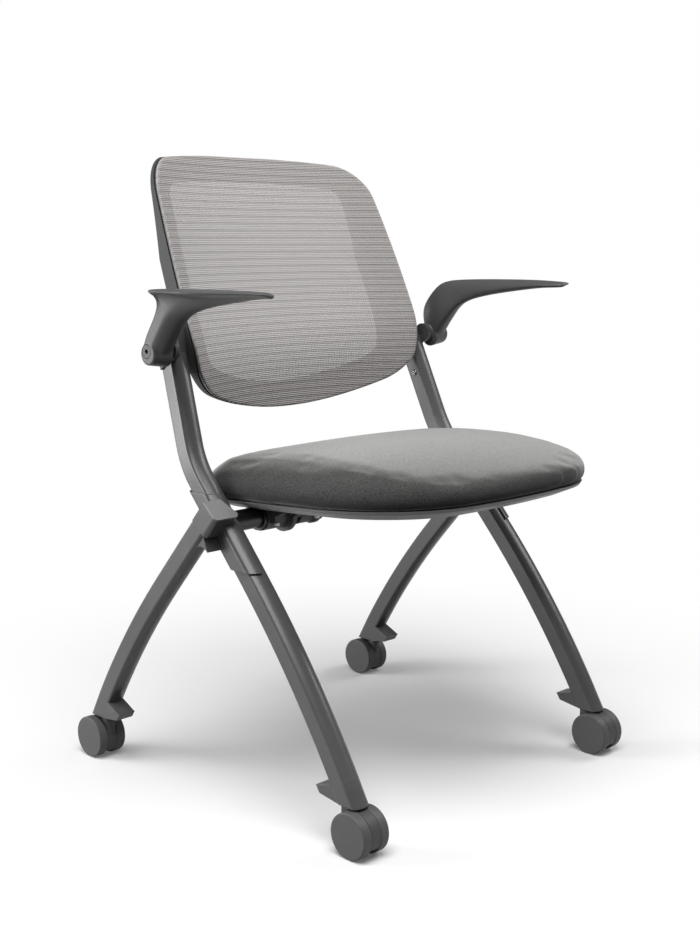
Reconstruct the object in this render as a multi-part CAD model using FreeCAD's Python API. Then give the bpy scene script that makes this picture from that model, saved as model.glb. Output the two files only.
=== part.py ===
import FreeCAD, Part
import math
import os

# Nesting chair on four twin wheel casters, with a flip-up seat and flip-up arms.
# Millimetres. X runs across the chair, -Y is the front, Z is up and the floor is z = 0.
# Everything that comes in pairs is drawn on the +X side and mirrored.

V = FreeCAD.Vector

# Leg tube: one bent tube from the front foot to the back
leg_x = 250.0
leg_width = 29.3
leg_flat = 22.0
leg_crown = 5.6
leg_corner = 4.0
leg_wall = 2.0
leg_tilt = 41.8
leg_bow_top = (-45.5, 315.0)
leg_bow_radius = 1500.0
leg_foot_z = 88.0
upright_bend = (78.2, 452.9)
upright_bend_radius = 150.0
upright_tilt = 21.2
upright_lean = 0.09
upright_top = 596.0

# Rear leg: a casting with a half sleeve round the leg tube
rear_leg_offset = 28.5
rear_leg_x = leg_x + rear_leg_offset
rear_leg_width = 27.0
rear_leg_flat = 23.0
rear_leg_crown = 4.0
rear_leg_corner = 3.5
rear_leg_tilt = 41.7
rear_leg_bow_top = (103.5, 287.5)
rear_leg_bow_radius = 1260.0
rear_leg_foot_z = 96.0
rear_leg_reach = 29.0
sleeve_wall = 3.0
sleeve_fit = 0.1
sleeve_top = 420.0
sleeve_bottom = 327.0
knuckle_inner_x = leg_x + 2.0
knuckle_fillet = 18.0
cap_thickness = 3.0

# Cross tube and seat hinge
pivot_y = 13.0
pivot_z = 382.0
cross_tube_dia = 28.5
cross_tube_wall = 2.5
tube_clearance = 1.0
bearing_gap = 0.05
bearing_wall = 5.0
bearing_inner_x = 85.0
bearing_outer_x = 190.0
collar_width = 5.0
collar_wall = 3.5
lug_width = 7.0
big_lug_x = 149.0
big_lug_radius = 25.0
small_lug_x = 98.0
small_lug_radius = 21.0
hinge_plate = 4.0
hinge_plate_front = -42.0
hinge_plate_rear = 50.0
seat_flip = 75.0
stop_x = 134.0
stop_width = 12.0
stop_angle = -10.0
stop_half_angle = 7.0
stop_play = 0.7
hinge_screw_dia = 6.0

# Seat: outline half widths at the widest level, heights over the fabric's lower edge
seat_tilt = 3.3
seat_edge_z = 409.0
seat_front = -300.0
seat_rear = 128.0
seat_side_gap = 3.05
seat_half = leg_x - leg_width / 2 - seat_side_gap
seat_widest_y = 5.0
seat_front_corner = (seat_half - 52.3, seat_front + 48.0)
seat_rear_corner = (seat_half - 21.3, seat_rear - 35.5)
seat_rear_heading = 142.5
seat_shell_depth = 14.0
seat_shell_draw = 32.0
seat_edge_inset = 6.0
# Cushion side: height, inset of the outline and pull on the rear corners at each level
seat_side_levels = [(0.3, 6.0, 0.0), (26.0, 0.0, 0.0), (41.0, 14.0, 0.0), (74.0, 50.0, 0.0)]
# Crown along the middle, and how far each cross section drops at the sides
seat_crown_line = [(seat_front + 14.0, 31.5), (-76.0, 67.0), (seat_rear - 16.0, 46.0)]
seat_side_drops = [(seat_front - 35.0, 12.0), (-200.0, 14.0), (-76.0, 15.0), (20.0, 10.0),
                   (100.0, 1.5), (seat_rear + 37.0, 0.8)]
board_thickness = 9.0
board_inset = 48.0
part_gap = 0.3
# Long enough to pass through any piece that it cuts
reach = 300.0

# Back: a cylinder bent forward at the sides, moved up a line, an arc and a line
back_radius = 414.0
back_y = 160.5
back_bend_z = 560.0
back_bend_radius = 200.0
back_lean = 21.85
back_top = 875.5
back_bottom = 504.5
back_side_gap = 25.5
back_half = leg_x - back_side_gap
mesh_thickness = 1.6
carrier_depth = 5.5
carrier_width = 14.0
groove_width = 2.6
groove_depth = 6.0
rail_width = 38.0
# Points of the back's shape, drawn for a back of this height and stretched with it
back_drawn_height = 371.0
rear_shell_points = [(17.0, -12.0), (21.0, 40.5), (38.0, 100.5), (62.0, 160.5), (85.0, 220.5),
                     (98.0, 280.5), (129.5, 383.0)]
back_outline_points = [(224.5, 371.0), (136.5, 370.2), (58.5, 364.0), (26.5, 345.0), (12.5, 316.0),
                       (3.5, 221.0), (0.0, 150.5), (1.5, 107.5), (10.0, 66.5), (27.5, 46.5),
                       (52.5, 31.0), (132.5, 8.5), (224.5, 0.0)]
spigot_length = 66.0
spigot_fit = 0.15
socket_height = 46.0
back_screw_z = 544.0
back_screw_dia = 5.0
back_screw_head = 10.0
back_screw_gap = 0.1

# Arms
arm_pivot_y = 117.7
arm_pivot_z = 605.4
arm_inner_x = leg_x + 6.3
arm_width = 37.7
arm_outer_x = arm_inner_x + arm_width
arm_hub_radius = 14.2
arm_inner_slope = 0.1
arm_pad_inner_x = arm_inner_x + 8.3
arm_pad_outer_x = arm_outer_x + 56.0
arm_bolt_dia = 8.0
arm_bolt_head = 18.2
arm_bolt_head_height = 3.0
arm_bolt_socket = 6.0
arm_boss_radius = 20.0
arm_boss_inner_x = leg_x - 1.0
arm_side_gap = 0.3

# Casters
wheel_dia = 60.0
wheel_width = 14.2
wheel_round = 2.0
wheel_gap = 0.3
caster_body_width = 15.4
caster_offset = 20.0
front_stem_y = -219.4
rear_stem_y = 251.8
front_caster_x = leg_x + 0.3
rear_caster_x = rear_leg_x + 0.9
axle_dia = 6.0
stem_dia = 10.9
stem_bore = 11.0
stem_height = 24.0
neck_dia = 14.0
neck_height = 4.0
caster_pin_dia = 8.0
foot_bottom = 63.0
foot_fin = 27.0
foot_plug = 18.0
plug_fit = 0.15
pin_gap = 0.05


def rotated(shape, point, axis, angle):
    turned = shape.copy()
    turned.rotate(point, axis, angle)
    return turned


def moved(shape, x, y, z):
    copy = shape.copy()
    copy.translate(V(x, y, z))
    return copy


def mirrored(shape):
    return shape.mirror(V(0, 0, 0), V(1, 0, 0))


def tube_x(radius, x0, x1, y, z):
    return Part.makeCylinder(radius, x1 - x0, V(x0, y, z), V(1, 0, 0))


def tube_z(radius, z0, z1, x, y):
    return Part.makeCylinder(radius, z1 - z0, V(x, y, z0), V(0, 0, 1))


def arc(a, b, c):
    return Part.Arc(a, b, c).toShape()


def line(a, b):
    return Part.LineSegment(a, b).toShape()


def polygon(points):
    return Part.makePolygon(points + [points[0]])


def slab_x(points, x0, x1):
    """Prism along X over an outline given as (y, z) points."""
    outline = polygon([V(x0, y, z) for y, z in points])
    return Part.Face(outline).extrude(V(x1 - x0, 0, 0))


def write(node, shape):
    shape.exportStep("parts/" + node + ".step")


def write_pair(node, shape):
    write("right_" + node, shape)
    write("left_" + node, mirrored(shape))


# Section of the tubes: two flat sides and two crowned edges with rounded corners

def crowned_wire(width, flat, crown, corner, origin, across, along):
    """Closed wire round origin: flats face across, crowns face along."""
    half = width / 2
    radius = (half * half + crown * crown) / (2 * crown)
    centre = flat / 2 + crown - radius
    corner_u = half - corner
    corner_v = centre + math.sqrt((radius - corner) ** 2 - corner_u ** 2)
    reach = radius / (radius - corner)
    touch_u = corner_u * reach
    touch_v = centre + (corner_v - centre) * reach
    # The middle of the corner arc lies half way between its two tangent directions
    turn = math.atan2(corner_v - centre, corner_u) / 2
    mid_u = corner_u + corner * math.cos(turn)
    mid_v = corner_v + corner * math.sin(turn)

    def at(u, v):
        return origin + across * u + along * v

    edges = []
    for s in (1, -1):
        edges.append(line(at(s * half, -s * corner_v), at(s * half, s * corner_v)))
        edges.append(arc(at(s * half, s * corner_v), at(s * mid_u, s * mid_v),
                         at(s * touch_u, s * touch_v)))
        edges.append(arc(at(s * touch_u, s * touch_v), at(0, s * (flat / 2 + crown)),
                         at(-s * touch_u, s * touch_v)))
        edges.append(arc(at(-s * touch_u, s * touch_v), at(-s * mid_u, s * mid_v),
                         at(-s * half, s * corner_v)))
    return Part.Wire(edges)


def side_direction(tilt, sign):
    """Unit vector up a leg that tilts from the vertical; sign +1 leans to the rear."""
    a = math.radians(tilt)
    return V(0, sign * math.sin(a), math.cos(a))


def bow_point(top, radius, tilt, x, sign, height):
    """Point of the bowed leg at a height; sign +1 for the front leg, -1 for the rear leg."""
    a0 = math.radians(tilt)
    centre_y = top[0] + sign * radius * math.cos(a0)
    centre_z = top[1] - radius * math.sin(a0)
    a = math.asin((height - centre_z) / radius)
    return V(x, centre_y - sign * radius * math.cos(a), height), math.degrees(a)


def front_bow(height):
    return bow_point(leg_bow_top, leg_bow_radius, leg_tilt, leg_x, 1, height)


def rear_bow(height):
    return bow_point(rear_leg_bow_top, rear_leg_bow_radius, rear_leg_tilt, rear_leg_x, -1, height)


def upright_axis():
    d = V(-upright_lean, math.tan(math.radians(upright_tilt)), 1.0)
    return d.normalize()


def leg_path(foot_z):
    """Centre line: bow, straight, bend and the leaning upright."""
    foot, foot_tilt = front_bow(foot_z)
    middle = front_bow((foot_z + leg_bow_top[1]) / 2)[0]
    start = V(leg_x, leg_bow_top[0], leg_bow_top[1])
    below = side_direction(leg_tilt, 1)
    corner = V(leg_x, upright_bend[0], upright_bend[1])
    above = upright_axis()
    turn = math.acos(below.dot(above))
    tangent = upright_bend_radius * math.tan(turn / 2)
    bend_in = corner - below * tangent
    bend_out = corner + above * tangent
    inward = (above - below).normalize()
    bend_mid = corner + inward * (upright_bend_radius / math.cos(turn / 2) - upright_bend_radius)
    top = corner + above * ((upright_top - corner.z) / above.z)
    wire = Part.Wire([arc(foot, middle, start), line(start, bend_in),
                      arc(bend_in, bend_mid, bend_out), line(bend_out, top)])
    return wire, side_direction(foot_tilt, 1)


def leg_sweep(grow, foot_z):
    """Swept leg tube section, grown on all sides by grow."""
    path, direction = leg_path(foot_z)
    across = V(1, 0, 0)
    section = crowned_wire(leg_width + 2 * grow, leg_flat + grow, leg_crown + grow / 2,
                           leg_corner + grow, path.Vertexes[0].Point, across,
                           direction.cross(across))
    return path.makePipeShell([section], True, False)


def make_leg_tube(envelope):
    hole = back_screw_hole(back_screw_dia / 2, leg_wall + 4.0)
    return envelope.cut([leg_sweep(-leg_wall, leg_foot_z), hole])


def rear_axis_point(distance):
    """Point on the straight top of the rear leg, measured up from its crossing with the pivot."""
    d = side_direction(rear_leg_tilt, -1)
    start = V(rear_leg_x, rear_leg_bow_top[0], rear_leg_bow_top[1])
    reach = (V(rear_leg_x, pivot_y, pivot_z) - start).dot(d)
    return start + d * (reach + distance)


def cap_outline(distance):
    """Outline of the knuckle's upper end: narrow at the top, wider and rounded below."""
    origin = rear_axis_point(distance)
    down = V(0, -math.cos(math.radians(rear_leg_tilt)), -math.sin(math.radians(rear_leg_tilt)))
    outer = rear_leg_width / 2
    inner_top = -rear_leg_width / 2
    inner_low = knuckle_inner_x - rear_leg_x
    top = -rear_leg_flat / 2 - 1.0
    low = rear_leg_flat / 2 + rear_leg_crown + 4.0
    r = 6.0

    def at(u, w):
        return origin + V(1, 0, 0) * u + down * w

    return Part.Wire([
        line(at(inner_top, top), at(outer, top)),
        line(at(outer, top), at(outer, low - r)),
        arc(at(outer, low - r), at(outer - 0.29 * r, low - 0.29 * r), at(outer - r, low)),
        line(at(outer - r, low), at(inner_low + r, low)),
        arc(at(inner_low + r, low), at(inner_low + 0.25 * r, low - 0.35 * r),
            at(inner_low, low - 1.2 * r)),
        line(at(inner_low, low - 1.2 * r), at(inner_top, top))])


def make_rear_leg(envelope):
    direction = side_direction(rear_leg_tilt, -1)
    # Bowed leg with its straight top
    foot, foot_tilt = rear_bow(rear_leg_foot_z)
    middle = rear_bow((rear_leg_foot_z + rear_leg_bow_top[1]) / 2)[0]
    start = V(rear_leg_x, rear_leg_bow_top[0], rear_leg_bow_top[1])
    end = rear_axis_point(rear_leg_reach - 2.0)
    path = Part.Wire([arc(foot, middle, start), line(start, end)])
    across = V(1, 0, 0)
    section = crowned_wire(rear_leg_width, rear_leg_flat, rear_leg_crown, rear_leg_corner, foot,
                           across, side_direction(foot_tilt, -1).cross(across))
    leg = path.makePipeShell([section], True, False)
    # Half sleeve: the outer half of the grown tube section, cut level at both ends
    sleeve = leg_sweep(sleeve_wall, leg_foot_z)
    window = Part.makeBox(60, 300, sleeve_top - sleeve_bottom, V(leg_x, -150, sleeve_bottom))
    sleeve = sleeve.common(window)
    # Knuckle block behind the cap, and the web under the leg with its round
    block = Part.Face(cap_outline(rear_leg_reach)).extrude(direction * -34.0)
    web = knuckle_web()
    body = leg.fuse([sleeve, block, web])
    inner = leg_sweep(sleeve_fit, leg_foot_z)
    return body.cut(inner).removeSplitter()


def leg_crossing():
    """Point in the side view where the straight axes of the two legs cross."""
    up_rear = side_direction(leg_tilt, 1)
    up_front = side_direction(rear_leg_tilt, -1)
    a = V(0, leg_bow_top[0], leg_bow_top[1])
    b = V(0, rear_leg_bow_top[0], rear_leg_bow_top[1])
    gap = b - a
    reach = (gap.y * up_front.z - gap.z * up_front.y) / (up_rear.y * up_front.z
                                                        - up_rear.z * up_front.y)
    return a + up_rear * reach


def knuckle_web():
    """Web between the two legs under the knuckle, ending in one round."""
    down_rear = side_direction(rear_leg_tilt, -1) * -1
    down_front = side_direction(leg_tilt, 1) * -1
    crossing = leg_crossing() + V(leg_x + 3.0, 0, 0)
    t = math.radians((leg_tilt + rear_leg_tilt) / 2)
    rear_edge = rear_leg_flat / 2 + rear_leg_crown * 0.4
    front_edge = leg_flat / 2 + sleeve_wall
    vertex = crossing + V(0, (front_edge - rear_edge) / 2 / math.cos(t),
                          -(front_edge + rear_edge) / 2 / math.sin(t))
    run = knuckle_fillet / math.tan(t)
    a = vertex + down_rear * run
    b = vertex + down_front * run
    middle = vertex - V(0, 0, knuckle_fillet / math.sin(t) - knuckle_fillet)
    outline = Part.Wire([line(crossing, a), arc(a, middle, b), line(b, crossing)])
    return Part.Face(outline).extrude(V(rear_leg_x - leg_x + rear_leg_width / 2 - 7.0, 0, 0))


def make_leg_cap():
    face = Part.Face(cap_outline(rear_leg_reach))
    return face.extrude(side_direction(rear_leg_tilt, -1) * cap_thickness)


def make_foot(front):
    """Leg end: the leg's own section, a spur on the inner side and the bore for the stem."""
    if front:
        x = leg_x
        stem_x = front_caster_x
        stem_y = front_stem_y
        sign = 1
        sizes = (leg_width, leg_flat, leg_crown, leg_corner)
        top, tilt = front_bow(leg_foot_z)
        low = front_bow(foot_bottom - 25)[0]
    else:
        x = rear_leg_x
        stem_x = rear_caster_x
        stem_y = rear_stem_y
        sign = -1
        sizes = (rear_leg_width, rear_leg_flat, rear_leg_crown, rear_leg_corner)
        top, tilt = rear_bow(rear_leg_foot_z)
        low = rear_bow(foot_bottom - 25)[0]
    across = V(1, 0, 0)
    direction = side_direction(tilt, sign)
    section = crowned_wire(*sizes, top, across, direction.cross(across))
    body = Part.Face(section).extrude(low - top)
    body = body.cut(Part.makeBox(200, 400, 200, V(x - 100, stem_y - 200, foot_bottom - 200)))
    # Spur: tip, lower tip and its root on the leg, in the leg's side view
    root = top - V(0, 0, 2)
    spur = slab_x([(root.y, root.z), (stem_y + sign * 45.0, foot_bottom + 14.0),
                   (stem_y + sign * 38.5, foot_bottom + 4.5), (stem_y + sign * 7.0, foot_bottom),
                   (stem_y - sign * 4.0, foot_bottom)],
                  x - foot_fin / 2, x + foot_fin / 2)
    if front:
        spur = spur.cut(leg_sweep(part_gap, leg_foot_z))
    body = body.fuse(spur)
    if front:
        plug_inset = leg_wall + plug_fit
        plug = crowned_wire(leg_width - 2 * plug_inset, leg_flat - plug_inset,
                            leg_crown - plug_inset / 2, leg_corner - plug_inset,
                            top - direction * 2.0, across, direction.cross(across))
        body = body.fuse(Part.Face(plug).extrude(direction * (foot_plug + 2.0)))
    bore = tube_z(stem_bore / 2, foot_bottom - 1.0, foot_bottom + stem_height + pin_gap,
                  stem_x, stem_y)
    return body.cut(bore).removeSplitter()


# Seat hinge

def ring_piece(r0, r1, x0, x1, a0, a1):
    """Part of a ring round the pivot, from angle a0 to a1; 0 points forward, 90 up."""
    points = []
    for a in (a0, (a0 + a1) / 2, a1):
        t = math.radians(a)
        points.append((-math.cos(t), math.sin(t)))

    def at(r, k):
        return V(x0, pivot_y + r * points[k][0], pivot_z + r * points[k][1])

    outline = Part.Wire([arc(at(r0, 0), at(r0, 1), at(r0, 2)), line(at(r0, 2), at(r1, 2)),
                         arc(at(r1, 2), at(r1, 1), at(r1, 0)), line(at(r1, 0), at(r0, 0))])
    return Part.Face(outline).extrude(V(x1 - x0, 0, 0))


def make_cross_tube(envelope):
    outer = tube_x(cross_tube_dia / 2, -leg_x, leg_x, pivot_y, pivot_z)
    inner = tube_x(cross_tube_dia / 2 - cross_tube_wall, -leg_x, leg_x, pivot_y, pivot_z)
    tube = outer.cut(inner)
    return tube.cut([envelope, mirrored(envelope)])


def make_collar():
    r = cross_tube_dia / 2
    outer = tube_x(r + collar_wall, bearing_outer_x + part_gap,
                   bearing_outer_x + part_gap + collar_width, pivot_y, pivot_z)
    inner = tube_x(r, bearing_outer_x, bearing_outer_x + 2 * collar_width, pivot_y, pivot_z)
    return outer.cut(inner)


def make_stop_tab():
    r = cross_tube_dia / 2
    return ring_piece(r, r + bearing_wall - 0.5, stop_x - stop_width / 2 + part_gap,
                      stop_x + stop_width / 2 - part_gap,
                      stop_angle - stop_half_angle, stop_angle + stop_half_angle)


def stop_slot():
    r = cross_tube_dia / 2
    return ring_piece(r - 1.0, r + bearing_wall + 8.0, stop_x - stop_width / 2,
                      stop_x + stop_width / 2, stop_angle - stop_half_angle - stop_play - seat_flip,
                      stop_angle + stop_half_angle + stop_play)


def make_hinge_bracket():
    """Upper half bearing under the seat shell with its screw plate."""
    r = cross_tube_dia / 2
    upper = ring_piece(r + bearing_gap, r + bearing_wall, bearing_inner_x, bearing_outer_x,
                       0.0, 180.0)
    plate_top = seat_edge_z - seat_shell_depth
    plate = Part.makeBox(bearing_outer_x - bearing_inner_x - 6.0,
                         hinge_plate_rear - hinge_plate_front, hinge_plate,
                         V(bearing_inner_x + 3.0, hinge_plate_front, plate_top - hinge_plate))
    plate = plate.makeFillet(8.0, [e for e in plate.Edges
                                   if abs(e.tangentAt(e.FirstParameter).z) > 0.99])
    plate = seat_tilted(plate)
    # Ribs carry the plate down to the bearing's split line
    ribs = []
    for x in (bearing_inner_x + 3.0, big_lug_x, bearing_outer_x - 9.0):
        web = slab_x([(pivot_y - r - bearing_wall - 3.0, pivot_z),
                      (hinge_plate_front + 8.0, seat_plane(hinge_plate_front + 8.0)
                       - seat_shell_depth - hinge_plate + 0.5),
                      (hinge_plate_rear - 8.0, seat_plane(hinge_plate_rear - 8.0)
                       - seat_shell_depth - hinge_plate + 0.5),
                      (pivot_y + r + bearing_wall + 3.0, pivot_z)], x, x + 6.0)
        ribs.append(web)
    body = upper.fuse([plate] + ribs)
    # Ears for the cap screws along the split line
    for y in (pivot_y - r - 9.0, pivot_y + r + 9.0):
        ear = Part.makeBox(14.0, 12.0, 7.0, V(bearing_inner_x + 14.0, y - 6.0, pivot_z))
        body = body.fuse([ear, moved(ear, 74.0, 0, 0)])
    bore = tube_x(r + bearing_gap, 0, leg_x, pivot_y, pivot_z)
    body = body.cut([bore, stop_slot()])
    for x, y in hinge_screw_points():
        body = body.cut(tube_z(hinge_screw_dia / 2, pivot_z - 20.0, pivot_z + 5.5, x, y))
    return body.removeSplitter()


def hinge_screw_points():
    r = cross_tube_dia / 2
    x0 = bearing_inner_x + 21.0
    return [(x, y) for x in (x0, x0 + 74.0) for y in (pivot_y - r - 9.0, pivot_y + r + 9.0)]


def make_hinge_cap():
    """Lower half bearing with its two round lugs and the stop slot."""
    r = cross_tube_dia / 2
    body = ring_piece(r + bearing_gap, r + bearing_wall, bearing_inner_x, bearing_outer_x,
                      -180.0, 0.0)
    for x, radius in ((big_lug_x, big_lug_radius), (small_lug_x, small_lug_radius)):
        lug = tube_x(radius, x - lug_width / 2, x + lug_width / 2, pivot_y - 3.0, pivot_z)
        body = body.fuse(lug)
    for y in (pivot_y - r - 9.0, pivot_y + r + 9.0):
        ear = Part.makeBox(14.0, 12.0, 6.0, V(bearing_inner_x + 14.0, y - 6.0, pivot_z - 6.0))
        body = body.fuse([ear, moved(ear, 74.0, 0, 0)])
    half = Part.makeBox(400, 120, 60, V(0, pivot_y - 60, pivot_z - 60))
    bore = tube_x(r + bearing_gap, 0, leg_x, pivot_y, pivot_z)
    body = body.common(half).cut([bore, stop_slot()])
    for x, y in hinge_screw_points():
        body = body.cut(tube_z(hinge_screw_dia / 2, pivot_z - 20.0, pivot_z + 1.0, x, y))
    return body.removeSplitter()


def make_hinge_screws():
    screws = []
    for x, y in hinge_screw_points():
        shank = tube_z(hinge_screw_dia / 2 - pin_gap, pivot_z - 6.0, pivot_z + 5.0, x, y)
        head = tube_z(hinge_screw_dia * 0.8, pivot_z - 10.0, pivot_z - 6.0, x, y)
        screws.append(shank.fuse(head).removeSplitter())
    return Part.makeCompound(screws)


# Seat

def seat_plane(y):
    """Height of the fabric's lower edge at a place along the seat."""
    return seat_edge_z - math.tan(math.radians(seat_tilt)) * y


def seat_tilted(shape):
    return rotated(shape, V(0, 0, seat_edge_z), V(1, 0, 0), -seat_tilt)


def tangent_arc(start, tangent, end):
    """Arc from start, leaving along tangent, to end, as its centre and three points."""
    chord = end - start
    normal = V(-tangent.y, tangent.x, 0)
    radius = chord.dot(chord) / (2 * chord.dot(normal))
    centre = start + normal * radius
    middle = centre + ((start + end) * 0.5 - centre).normalize() * abs(radius)
    return centre, start, middle, end


def two_arcs(start, t0, end, t1):
    """Two arcs, tangent to each other, that leave start along t0 and reach end along t1."""
    v = end - start
    along = v.dot(t0 + t1)
    bend = 2 * (1 - t0.dot(t1))
    d = (math.sqrt(along * along + bend * v.dot(v)) - along) / bend
    a = start + t0 * d
    b = end - t1 * d
    joint = (a + b) * 0.5
    return [tangent_arc(start, t0, joint), tangent_arc(joint, (b - a).normalize(), end)]


def seat_outline(height, inset=0.0, corner_pull=0.0):
    """Seat outline at its widest, drawn in by inset, at a height over the fabric's edge."""
    z = seat_edge_z + height
    corner_x = seat_rear_corner[0] - corner_pull * math.sin(math.radians(seat_rear_heading))
    corner_y = seat_rear_corner[1] + corner_pull * math.cos(math.radians(seat_rear_heading))
    stations = [(0.0, seat_front, 0.0), (seat_front_corner[0], seat_front_corner[1], 48.0),
                (seat_half, seat_widest_y, 90.0),
                (corner_x, corner_y, seat_rear_heading), (0.0, seat_rear, 180.0)]
    marks = []
    for x, y, heading in stations:
        t = math.radians(heading)
        marks.append((V(x, y, z), V(math.cos(t), math.sin(t), 0)))
    edges = []
    for (p0, t0), (p1, t1) in zip(marks, marks[1:]):
        for centre, a, b, c in two_arcs(p0, t0, p1, t1):
            shrink = 1.0 - inset / (a - centre).Length
            edges.append(arc(*[centre + (q - centre) * shrink for q in (a, b, c)]))
    right = Part.Wire(edges)
    left = right.mirror(V(0, 0, 0), V(1, 0, 0))
    return Part.Wire(Part.__sortEdges__(right.Edges + left.Edges))


def outline_prism(bottom, top, inset):
    return Part.Face(seat_outline(bottom, inset)).extrude(V(0, 0, top - bottom))


def circle_through(a, b, c):
    circle = arc(V(0, a[0], a[1]), V(0, b[0], b[1]), V(0, c[0], c[1])).Curve
    return circle.Center, circle.Radius


def crown_section(y, drop):
    """Upright section of everything below the seat's top, arched across the seat."""
    centre, radius = circle_through(*[(p[0], seat_edge_z + p[1]) for p in seat_crown_line])
    top = centre.z + math.sqrt(radius ** 2 - (y - centre.y) ** 2)
    half = seat_half + 20.0
    low = seat_edge_z - 60.0
    a = V(-half, y, top - drop)
    b = V(half, y, top - drop)
    return Part.Wire([arc(a, V(0, y, top), b), line(b, V(half, y, low)),
                      line(V(half, y, low), V(-half, y, low)), line(V(-half, y, low), a)])


def seat_crown_solid():
    """Everything below the seat's top: arched across at the front, level across at the rear."""
    return Part.makeLoft([crown_section(y, drop) for y, drop in seat_side_drops], True, False)


def make_seat_cushion():
    levels = [seat_outline(height, inset, pull) for height, inset, pull in seat_side_levels]
    body = Part.makeLoft(levels, True, False)
    return seat_tilted(body.common(seat_crown_solid()))


def board_prism(gap, bottom, top):
    return outline_prism(bottom, top, board_inset - gap)


def hinge_channel():
    """Room under the seat for the cross tube and, on both sides, for the hinge's bearing."""
    r = cross_tube_dia / 2
    groove = tube_x(r + tube_clearance, -leg_x, leg_x, pivot_y, pivot_z)
    channel = tube_x(r + bearing_wall + part_gap, bearing_inner_x - 1.0, bearing_outer_x + 8.0,
                     pivot_y, pivot_z)
    return [groove, channel, mirrored(channel)]


def make_seat_board():
    return seat_tilted(board_prism(0.0, -board_thickness, 0.0)).cut(hinge_channel())


def make_seat_shell():
    rim = seat_outline(0.0, seat_edge_inset - 2.0)
    rim_low = seat_outline(-4.0, seat_edge_inset + 1.0)
    floor = seat_outline(-seat_shell_depth, seat_edge_inset + seat_shell_draw - 4.0)
    body = Part.makeLoft([rim, rim_low, floor], True, True)
    body = body.cut(board_prism(part_gap, -board_thickness, 1.0))
    return seat_tilted(body).cut(hinge_channel())


# Back

def back_front_path():
    """Mesh front in the middle plane, from below the back to above it: line, arc and line."""
    lean = math.radians(back_lean)
    low = V(0, back_y, back_bottom - 12.0)
    bend = V(0, back_y, back_bend_z)
    centre = bend + V(0, back_bend_radius, 0)
    middle = centre + V(0, -math.cos(lean / 2), math.sin(lean / 2)) * back_bend_radius
    out = centre + V(0, -math.cos(lean), math.sin(lean)) * back_bend_radius
    rise = back_top + 12.0 - out.z
    high = out + V(0, rise * math.tan(lean), rise)
    return Part.Wire([line(low, bend), arc(bend, middle, out), line(out, high)])


def back_stretch():
    return (back_top - back_bottom) / back_drawn_height


def back_rear_path():
    """Rear of the shell in the middle plane: thin at both ends, deep beside the uprights."""
    stretch = back_stretch()
    p = [V(0, back_y + y * stretch, back_bottom + z * stretch) for y, z in rear_shell_points]
    return Part.Wire([arc(p[k], p[k + 1], p[k + 2]) for k in range(0, len(p) - 1, 2)])


def back_sweep(path, depth, behind):
    """Solid from the bowed surface on a path, moved back by depth, to a flat side behind it."""
    start = path.Vertexes[0].Point + V(0, depth, 0)
    half = back_half + 12.0
    forward = back_radius - math.sqrt(back_radius ** 2 - half ** 2)
    a = start + V(-half, -forward, 0)
    b = start + V(half, -forward, 0)
    section = Part.Wire([arc(a, start, b), line(b, V(half, start.y + behind, start.z)),
                         line(V(half, start.y + behind, start.z),
                              V(-half, start.y + behind, start.z)),
                         line(V(-half, start.y + behind, start.z), a)])
    sweep = Part.BRepOffsetAPI.MakePipeShell(moved(path, 0, depth, 0))
    sweep.setTrihedronMode(start, V(0, 0, 1))
    sweep.add(section)
    sweep.build()
    sweep.makeSolid()
    return sweep.shape()


def behind_mesh(depth):
    """Everything behind the bowed surface that lies depth behind the mesh's front."""
    return back_sweep(back_front_path(), depth, 150.0)


def back_slab(front, rear):
    return behind_mesh(front).cut(behind_mesh(rear))


def back_outline():
    """Front view outline of the back, in the plane y = 0, from places inward and above its bottom."""
    stretch = back_stretch()
    right = [V(back_half - inward, 0, back_bottom + rise * stretch)
             for inward, rise in back_outline_points]
    right[0].x = 0.0
    right[-1].x = 0.0
    edges = [arc(right[k], right[k + 1], right[k + 2]) for k in range(0, len(right) - 2, 2)]
    half = Part.Wire(edges)
    left = half.mirror(V(0, 0, 0), V(1, 0, 0))
    return Part.Wire(Part.__sortEdges__(half.Edges + left.Edges))


def back_prism(inset):
    outline = back_outline()
    if inset:
        outline = outline.makeOffset2D(-inset)
    return moved(Part.Face(outline).extrude(V(0, 400, 0)), 0, 20, 0)


def upright_point(z):
    corner = V(leg_x, upright_bend[0], upright_bend[1])
    d = upright_axis()
    return corner + d * ((z - corner.z) / d.z)


def upright_section(z, grow, shift):
    d = upright_axis()
    across = (V(1, 0, 0) - d * d.x).normalize()
    return crowned_wire(leg_width + 2 * grow, leg_flat + grow, leg_crown + grow / 2,
                        max(leg_corner + grow, 1.0), upright_point(z) + shift, across,
                        d.cross(across))


def make_spigot():
    """Plug that goes down into the upright, and the socket head above it."""
    d = upright_axis()
    plug = Part.Face(upright_section(upright_top, -leg_wall - spigot_fit, V(0, 0, 0)))
    plug = plug.extrude(d * -spigot_length)
    head = Part.makeLoft([upright_section(upright_top, 0.0, V(0, 0, 0)),
                          upright_section(upright_top + 10.0, 0.0, V(-1.5, -1.0, 0)),
                          upright_section(upright_top + 30.0, -2.0, V(-9.0, -8.0, 0)),
                          upright_section(upright_top + socket_height, -5.0,
                                          V(-19.0, -18.0, 0))], True, False)
    return plug.fuse(head)


def below_back():
    return Part.makeBox(2 * reach, reach, reach, V(-reach, 0, upright_top - reach + 12.0))


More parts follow.
